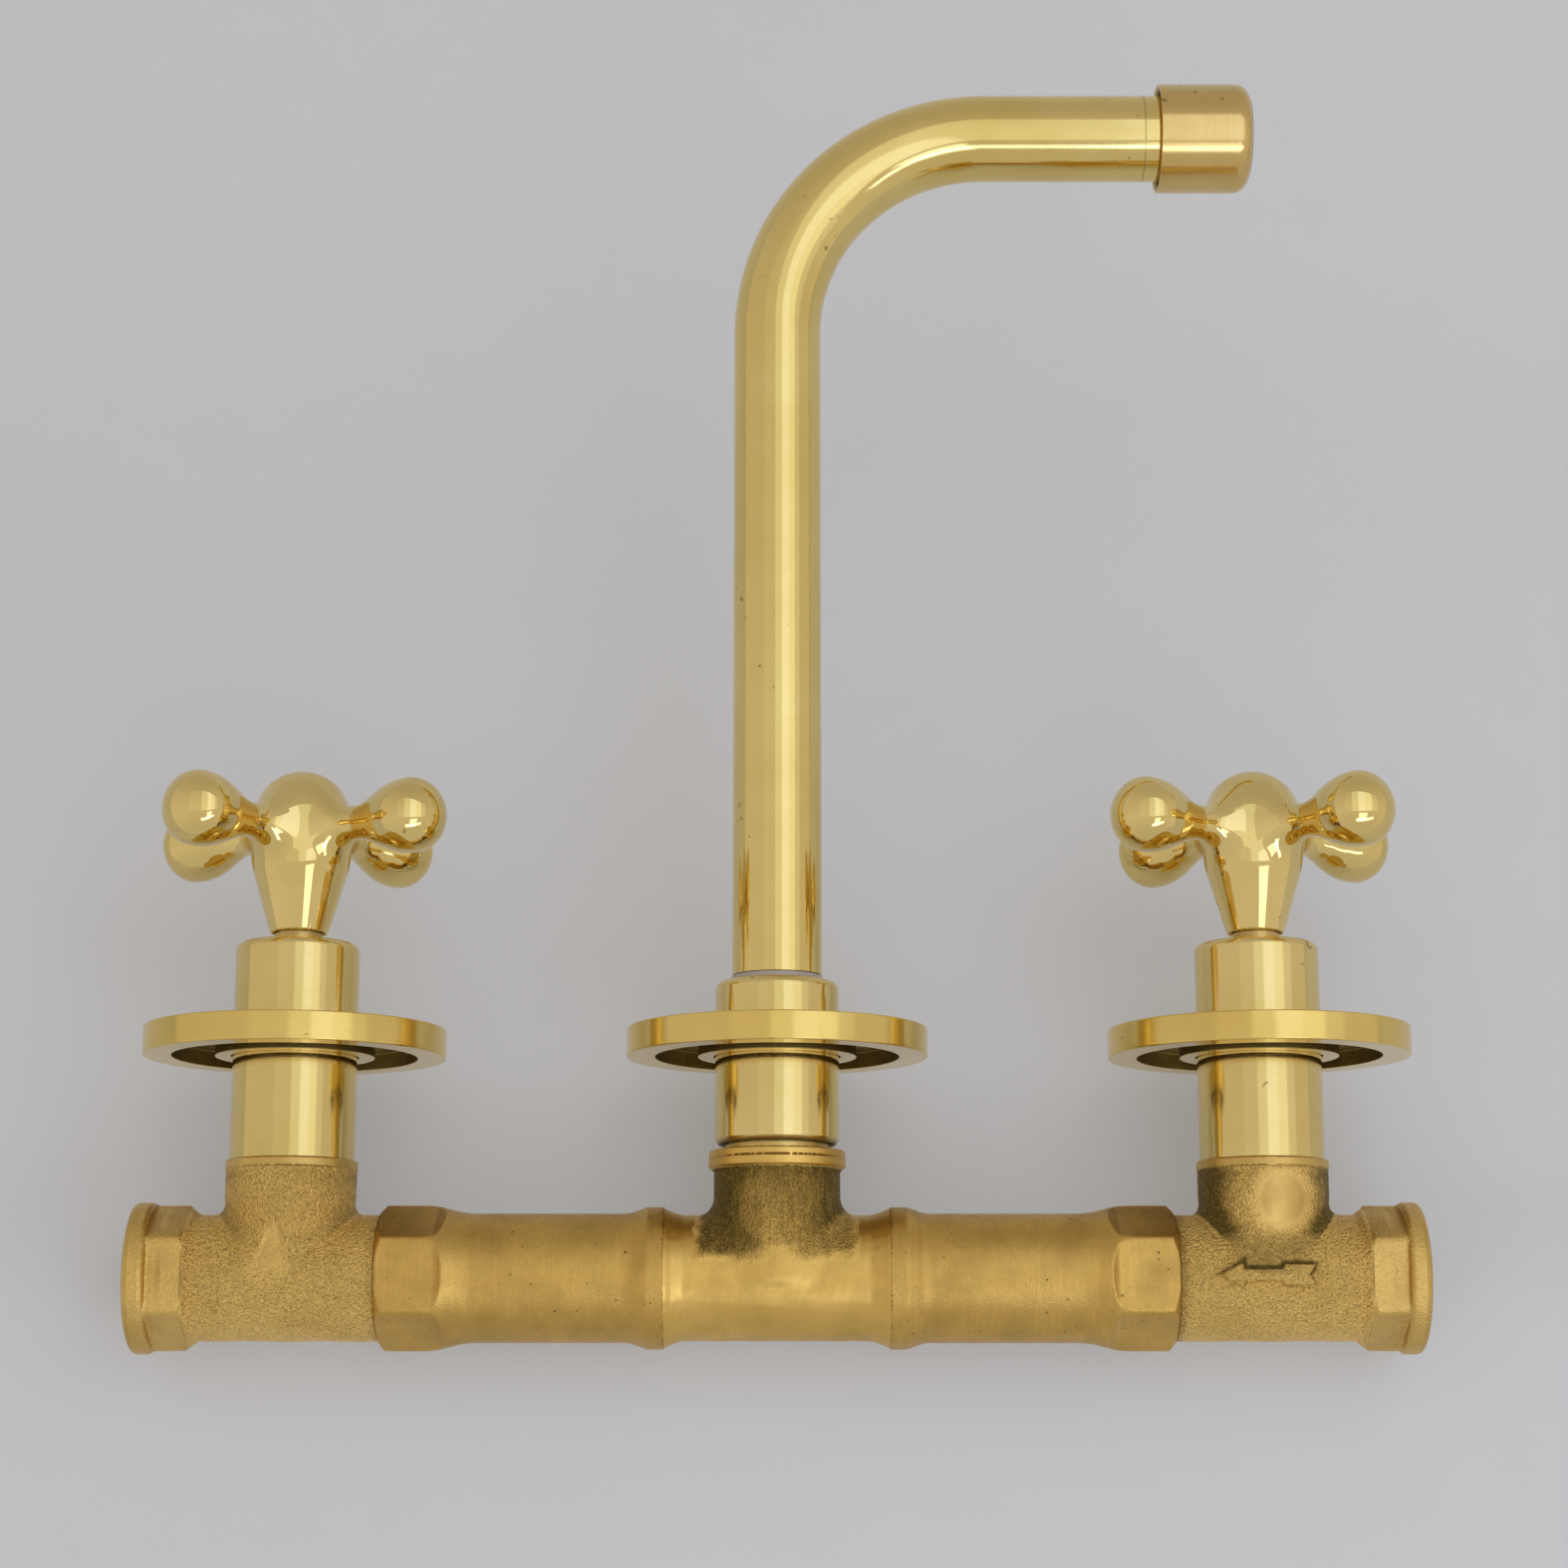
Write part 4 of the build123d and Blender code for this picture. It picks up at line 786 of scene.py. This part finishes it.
def tee(x, y, z):
    """The centre tee: a barrel along x that plugs into both connectors, and a neck with a turned ring."""
    rho, neck_rho = np.hypot(y, z), np.hypot(x, y)
    far = np.abs(x)
    lumps = 0.025 * wave(x, y, z, 8.0, 5) + 0.012 * wave(x, y, z, 3.0, 6)
    barrel = meet((rho - curve_radius(far, TEE_KNOTS)) * 0.93, far - TEE_HALF, 0.06)
    narrowed = neck_rho + 0.8 * np.clip((9 - z) / 9, 0, 1) ** 2
    neck = rod(narrowed, z, TEE_NECK_R, 0, 23, 0.1)
    solid = join(barrel, np.maximum(neck, -z), 3.4)
    solid = solid + np.where(z < SAND_TOP, lumps * np.clip(SAND_TOP - z, 0, 1), 0)
    under = (neck_rho - TEE_NECK_R) * 0.6 - (z - 22.0) * 0.8
    ring = meet(rod(neck_rho, z, TEE_RING_R, TEE_RING, 24.6, 0.12), under, 0.1)
    ring = np.minimum(ring, rod(neck_rho, z, TEE_RING_R - 0.1, 24.5, TEE_TOP, 0.45))
    solid = np.minimum(solid, ring)
    solid = np.minimum(solid, rod(rho, x, TEE_PLUG_R, -TEE_PLUG_HALF, TEE_PLUG_HALF, 0.3))
    bores = np.minimum.reduce([
        rod(rho, x, TEE_BORE, -50, 50, 0.1),
        rod(neck_rho, z, TEE_BORE, 0, 15, 0.1),
        rod(neck_rho, z, COLLAR_BORE, 14, 40, 0.1),
    ])
    return cut(solid, bores, 0.2)


def connector(x, y, z):
    """A connector pipe along x: a bell at the tee, a waist, and a hexagon at the valve."""
    rho = np.hypot(y, z)
    side = (rho - curve_radius(x, PIPE_KNOTS)) * 0.96
    bevel = (rho - HEX_R) * 0.60 + (x - 81.2) * 0.80
    solid = meet(side, bevel, 0.15)
    flat = hexagon(y, z, PIPE_HEX) - 0.30 * np.maximum(70.6 - x, 0) ** 2
    solid = meet(solid, flat, 0.22)
    solid = meet(solid, np.maximum(PIPE_START - x, x - PIPE_END), 0.1)
    bores = np.minimum.reduce([
        rod(rho, x, 8.0, 0, 100, 0.1),
        rod(rho, x, 11.05, 0, 32.6, 0.1),
        rod(rho, x, 10.53, 69.5, 100, 0.1),
    ])
    return cut(solid, bores, 0.2)


# Where the castings carry tarnish and painted shade, and where they are ground or machined

def near(*gaps):
    """How close a point is to all of some surfaces: 1 on them, fading over the given widths."""
    return np.exp(-sum((np.asarray(d) / width) ** 2 for d, width in gaps))


def rise(v, start, length):
    """0 up to start, then rising to 1 over a length."""
    return np.clip((v - start) / length, 0, 1)


def band(v, low, high, soft):
    """1 between two values, fading out over soft."""
    return rise(v, low, soft) * np.clip((high - v) / soft, 0, 1)


def body_marks(points):
    """A valve body: tarnish and painted shade at the neck's foot, painted shade on the neck's flanks, under
    its ring, at the seams, in the bore and along the arrow's upper edge, and an oval ground bare beside the
    arrow.
    """
    x, y, z = points.T
    rho, neck_rho = np.hypot(y, z), np.hypot(x, y)
    arrow_side = y < 0
    # Tarnish and painted shade in the crease at the neck's foot, stronger on the arrow's side.
    root = near((rho - 13.3, 2.2), (neck_rho - 13.0, 2.2)) * (z > 0)
    # Painted shade darkening the neck's flanks, most on the arrow's side at -x.
    side = np.clip(np.abs(x) / 13.0 - 0.45, 0, 1) * 1.5 * rise(z, 6, 3) * (neck_rho < 14.5)
    side = side * np.where(arrow_side, np.where(x < 0, 1.35, 0.95), 0.4)
    # Painted shade under the neck's ring.
    under_ring = band(z, 18.5, 22.4, 2.0) * (neck_rho < 14.0) * 0.16
    # Painted shade at the seam with the connector, at the hexagon's foot and in the groove between the
    # hexagon and the flange.
    seat = near((x + 19.3, 2.2)) * np.where(arrow_side, 0.5, 0.3)
    seat = seat + near((x - 19.6, 1.0)) * 0.2 + near((x - 27.6, 0.5), (rho - 14.8, 0.8)) * 0.5
    # Painted shade inside the inlet's bore.
    inside = (rho < 10.9) & (x > 16.5)
    tarnish_and_shade = root * np.where(arrow_side, 0.42, 0.22) + side + under_ring + seat + 0.55 * inside
    # Painted shade along the arrow's edges, darker on its upper side.
    arrow_edge = near((arrow(x, z) - 0.45, 0.4)) * (arrow_side & (rho < 14.6))
    tarnish_and_shade = tarnish_and_shade + arrow_edge * np.where(z < 0, 0.35, 0.65)
    oval = np.clip(2.3 - 1.8 * np.hypot((x - 2.2) / 6.2, (z - 15.4) / 6.6), 0, 1)
    wedge = np.abs(x - 1.2 - 0.1 * (11.8 - z)) / np.maximum(0.36 * (12.5 - z), 0.1)
    wedge = np.clip(2 - 1.5 * wedge, 0, 1) * band(z, -2, 13, 4) * 0.7
    ground = np.where(arrow_side, oval, wedge) * (y * y > 60)
    turned_ring = (z > 22.15) & (neck_rho < 15)
    end_face = (x > 31.0) | (x < -18.9)
    ground = np.maximum(ground, 1.0 * (turned_ring | end_face))
    ground = np.maximum(ground, 0.75 * band(x, 19.8, 33, 0.5))
    return {"tarnish_and_shade": np.clip(tarnish_and_shade * (1 - 0.8 * ground), 0, 1), "ground": np.clip(ground, 0, 1)}


def tee_marks(points):
    """The tee: a ragged dark patch of tarnish on the neck and upper barrel, darker at +x, a painted
    highlight on a wedge under the neck, tarnish on the neck with painted shade on its flanks, under the ring
    and in the grooves by the bells, and a machined ring.
    """
    x, y, z = points.T
    rho, neck_rho = np.hypot(y, z), np.hypot(x, y)
    ragged = 0.4 * wave(x, y, z, 5.0, 9)
    # A painted highlight: a wedge under the neck that is kept light.
    lit = np.exp(-((x / 4.6) ** 2)) * np.clip((18 - z) / 10, 0, 1)
    patch = np.clip((z - 1.8 + ragged - 0.05 * np.abs(x)) / 3.2, 0, 1)
    patch = patch * np.clip((17.0 + ragged - np.abs(x)) / 2.0, 0, 1)
    patch = patch * (rho < 15)
    patch = patch * (0.56 + 0.16 * np.tanh(x / 5.0) - 0.42 * lit) * np.clip((14.5 - z) / 4 + 0.5, 0.5, 1)
    # Tarnish on the neck, and painted shade darkening its flanks, one more than the other.
    neck = 0.45 + np.clip(np.abs(x) / 13.0 - 0.45, 0, 1) * (1.05 + 0.25 * np.tanh(x / 4.0))
    neck = neck * rise(z, 3, 6) * np.clip((15.4 - neck_rho) / 1.6, 0, 1) * (1 - 0.6 * lit)
    # Painted shade under the ring.
    under_ring = rise(z, 17.5, 4) * (neck_rho < 14.6) * 0.18
    # Painted shadow of the connectors' bells in the grooves beside them.
    groove = 0.16 * near((np.abs(x) - 20.2, 1.3)) * rise(z, -6, 8)
    tarnish_and_shade = np.maximum(patch, neck) + under_ring + groove
    machined = (z > 22.3) & (neck_rho < 15)
    rough_cast = np.maximum(patch, rise(z, 4.5, 5) * (neck_rho < 15.5))
    ground = np.where(machined, 1.0, 1 - np.clip(2.2 * rough_cast, 0, 1))
    tarnish_and_shade = np.where(machined, 0.1, tarnish_and_shade) * np.where(y > 0, 1.0, 0.8)
    return {"tarnish_and_shade": np.clip(tarnish_and_shade, 0, 1), "ground": ground}


def pipe_marks(points):
    """A connector: painted shade along its top, at its seam with the valve body and behind its bell."""
    x, _, z = points.T
    tarnish_and_shade = 0.2 * rise(z, 7.5, 6) + 0.25 * near((x - 82.8, 0.7)) + 0.1 * near((x - 29.5, 1.2))
    return {"tarnish_and_shade": np.clip(tarnish_and_shade, 0, 1), "ground": np.full(len(x), 0.75)}


BODY = net(valve_body, (-31.5, -16.5, -16.5), (33, 16.5, 33))
TEE = net(tee, (-33.5, -16, -16), (33.5, 16, 27.5))
PIPE = net(connector, (22.5, -16, -16), (83.5, 16, 16))
for side, (offset, facing) in SIDES.items():
    piece(f"casting_{side}", BODY, stack(offset, facing), "manifold", CAST,
          [f"valve_body_{side}"], body_marks(BODY[0]))
    piece(f"pipe_{side}", PIPE, stack(0, facing), "manifold", GROUND,
          [f"connector_{side}"], pipe_marks(PIPE[0]))
piece("casting_tee", TEE, stack(0), "manifold", TEED, ["tee"], tee_marks(TEE[0]))


# Everything the solids already show

STOCK = {
    "cast_brass": CAST, "machined_brass": TURNED, "polished_brass": SLEEVED,
    "black_rubber": RUBBER, "ceramic": CERAMIC, "fibre_washer": FIBRE,
    "pale_nylon": NYLON, "stainless_steel": STEEL, "dark_plastic": DARK,
}
finish_of = {part["node"]: part["material_slot"] for part in frame["record"]["subparts"]}
for node, obj in frame["nodes"].items():
    obj.data.materials.clear()
    obj.data.materials.append(TUBED if node == "outlet_adaptor" else STOCK[finish_of[node]])


# Floor, light and camera, in metres

# The floor's (y, height) knots: a sheet close under the manifold that falls away under the handles and
# the swing of the spout. Then the share and the colour of the light that its paper shows as its own.
FLOOR_HALF = 4.0
SHEET = [
    (-FLOOR_HALF, -0.135), (-0.6, -0.135), (-0.34, -0.133), (-0.22, -0.118), (-0.1, -0.0725), (0.0, -0.0370),
    (0.022, -0.0298), (0.036, -0.0225), (0.050, -0.0180), (0.075, -0.0172), (FLOOR_HALF, -0.0172),
]
OWN_SHARE, OWN_COLOUR = 0.33, (0.525, 0.525, 0.53)

# A window over one side of the object in five leaves, each from one x to another with its colour and
# brightness, and a pane below it
LEAVES = [
    (0.064, 0.50, (0.06, 0.065, 0.065)),
    (-0.16, 0.064, (0.24, 0.30, 0.32)),
    (-0.44, -0.16, (0.50, 0.61, 0.88)),
    (-0.78, -0.44, (0.42, 0.49, 0.56)),
    (-1.30, -0.78, (0.14, 0.16, 0.20)),
]
WINDOW_HEIGHT, LEAF_Y, LEAF_LENGTH = 0.75, -0.25, 0.8

# The dim room's colours, from -Y to +Y
ROOM = [
    (0.05, (0.50, 0.47, 0.45)), (0.38, (0.66, 0.61, 0.57)),
    (0.62, (0.70, 0.66, 0.63)), (0.95, (0.60, 0.58, 0.57)),
]

# The photo's camera: its focal length and picture width in pixels, its sensor's width in millimetres,
# its place, and the direction that it looks away from
FOCAL, PICTURE, SENSOR = 3300.0, 1574.0, 36.0
EYE = (-0.00145, 0.0845, 0.6902)
BACK = (0, 0.2035, 0.9791)


def show_own_light(mat, share, colour):
    """Mixes a share of light of its own into a material, where the camera, a mirror or glass looks at it."""
    tree = mat.node_tree
    rays = tree.nodes.new("ShaderNodeLightPath")
    seen = rays.outputs["Is Camera Ray"]
    for kind in ("Is Glossy Ray", "Is Transmission Ray"):
        either = tree.nodes.new("ShaderNodeMath")
        either.operation = "MAXIMUM"
        tree.links.new(seen, either.inputs[0])
        tree.links.new(rays.outputs[kind], either.inputs[1])
        seen = either.outputs[0]
    part = tree.nodes.new("ShaderNodeMath")
    part.operation = "MULTIPLY"
    part.inputs[1].default_value = share
    own = tree.nodes.new("ShaderNodeEmission")
    own.inputs["Color"].default_value = (*colour, 1)
    blend = tree.nodes.new("ShaderNodeMixShader")
    tree.links.new(seen, part.inputs[0])
    tree.links.new(part.outputs[0], blend.inputs[0])
    tree.links.new(tree.nodes["Principled BSDF"].outputs[0], blend.inputs[1])
    tree.links.new(own.outputs[0], blend.inputs[2])
    tree.links.new(blend.outputs[0], tree.nodes["Material Output"].inputs["Surface"])


def lay_floor():
    """The paper sheet that the object lies on."""
    fine_rows = np.linspace(-0.6, 0.2, 161)
    rows = np.concatenate([[-FLOOR_HALF, -2.0, -1.0], fine_rows, [0.5, 1.0, 2.0, FLOOR_HALF]])
    drop = curve_radius(rows, SHEET)
    data = bpy.data.meshes.new("floor")
    data.from_pydata([(x, y, z) for y, z in zip(rows, drop) for x in (-FLOOR_HALF, FLOOR_HALF)], [],
                     [(2 * i, 2 * i + 1, 2 * i + 3, 2 * i + 2) for i in range(len(rows) - 1)])
    data.polygons.foreach_set("use_smooth", np.ones(len(data.polygons), bool))
    floor = bpy.data.objects.new("floor", data)
    bpy.context.scene.collection.objects.link(floor)
    paper = plain("floor_paper", (0.70, 0.705, 0.71), 0.85, 500.0, 0.00004, 0.985)
    data.materials.append(paper)
    show_own_light(paper, OWN_SHARE, OWN_COLOUR)


def softbox(name, centre, size, glow, aim=None):
    """A rectangular soft light, straight above aim. glow is its colour times its brightness as seen."""
    light = bpy.data.lights.new(name, "AREA")
    light.shape = "RECTANGLE"
    light.size, light.size_y = size
    light.energy = math.pi * size[0] * size[1]
    light.color = glow
    obj = bpy.data.objects.new(name, light)
    obj.location = centre
    aim = aim or (centre[0], centre[1], 0)
    obj.rotation_euler = (Vector(centre) - Vector(aim)).to_track_quat("Z", "Y").to_euler()
    bpy.context.scene.collection.objects.link(obj)


def hang_lights():
    """The window, its pane, and a far, narrow, bright bar of light low behind the wall's side."""
    for number, (x0, x1, glow) in enumerate(LEAVES):
        softbox(f"leaf_{number}", ((x0 + x1) / 2, LEAF_Y, WINDOW_HEIGHT), (x1 - x0, LEAF_LENGTH), glow)
    softbox("pane", (-0.36, 0.44, WINDOW_HEIGHT), (0.36, 0.42), (0.95, 1.1, 1.45))
    softbox("bar", (-1.5, 1.8, 2.2), (3.0, 0.42), (1.3, 1.5, 2.1), (-1.5, 0, 0))


def set_room():
    """Dim warm surroundings whose colour changes along y."""
    world = bpy.data.worlds.new("world")
    bpy.context.scene.world = world
    world.use_nodes = True
    tree = world.node_tree
    where = tree.nodes.new("ShaderNodeTexCoord")
    split = tree.nodes.new("ShaderNodeSeparateXYZ")
    shift = tree.nodes.new("ShaderNodeMath")
    shift.operation = "MULTIPLY_ADD"
    shift.inputs[1].default_value = 0.5
    shift.inputs[2].default_value = 0.5
    tone = tree.nodes.new("ShaderNodeValToRGB")
    tree.links.new(where.outputs["Generated"], split.inputs["Vector"])
    tree.links.new(split.outputs["Y"], shift.inputs[0])
    tree.links.new(shift.outputs[0], tone.inputs["Fac"])
    tree.links.new(tone.outputs["Color"], tree.nodes["Background"].inputs["Color"])
    stops = tone.color_ramp.elements
    for start in (0.4, 0.65):
        stops.new(start)
    for item, (pos, colour) in zip(stops, ROOM):
        item.position = pos
        item.color = (*colour, 1)


def set_camera():
    """The photo's camera: the room's side is up in the picture and +X is at its left."""
    camera = bpy.data.cameras.new("camera")
    camera.sensor_fit = "HORIZONTAL"
    camera.sensor_width = SENSOR
    camera.lens = FOCAL / PICTURE * SENSOR
    camera.clip_end = 20.0
    eye = bpy.data.objects.new("camera", camera)
    back = Vector(BACK).normalized()
    right = Vector((-1, 0, 0))
    up = back.cross(right)
    rows = [(*row, place) for row, place in zip(zip(right, up, back), EYE)]
    eye.matrix_world = Matrix(rows + [(0, 0, 0, 1)])
    bpy.context.scene.collection.objects.link(eye)
    bpy.context.scene.camera = eye
    bpy.context.scene.view_settings.view_transform = "Standard"


lay_floor()
hang_lights()
set_room()
set_camera()
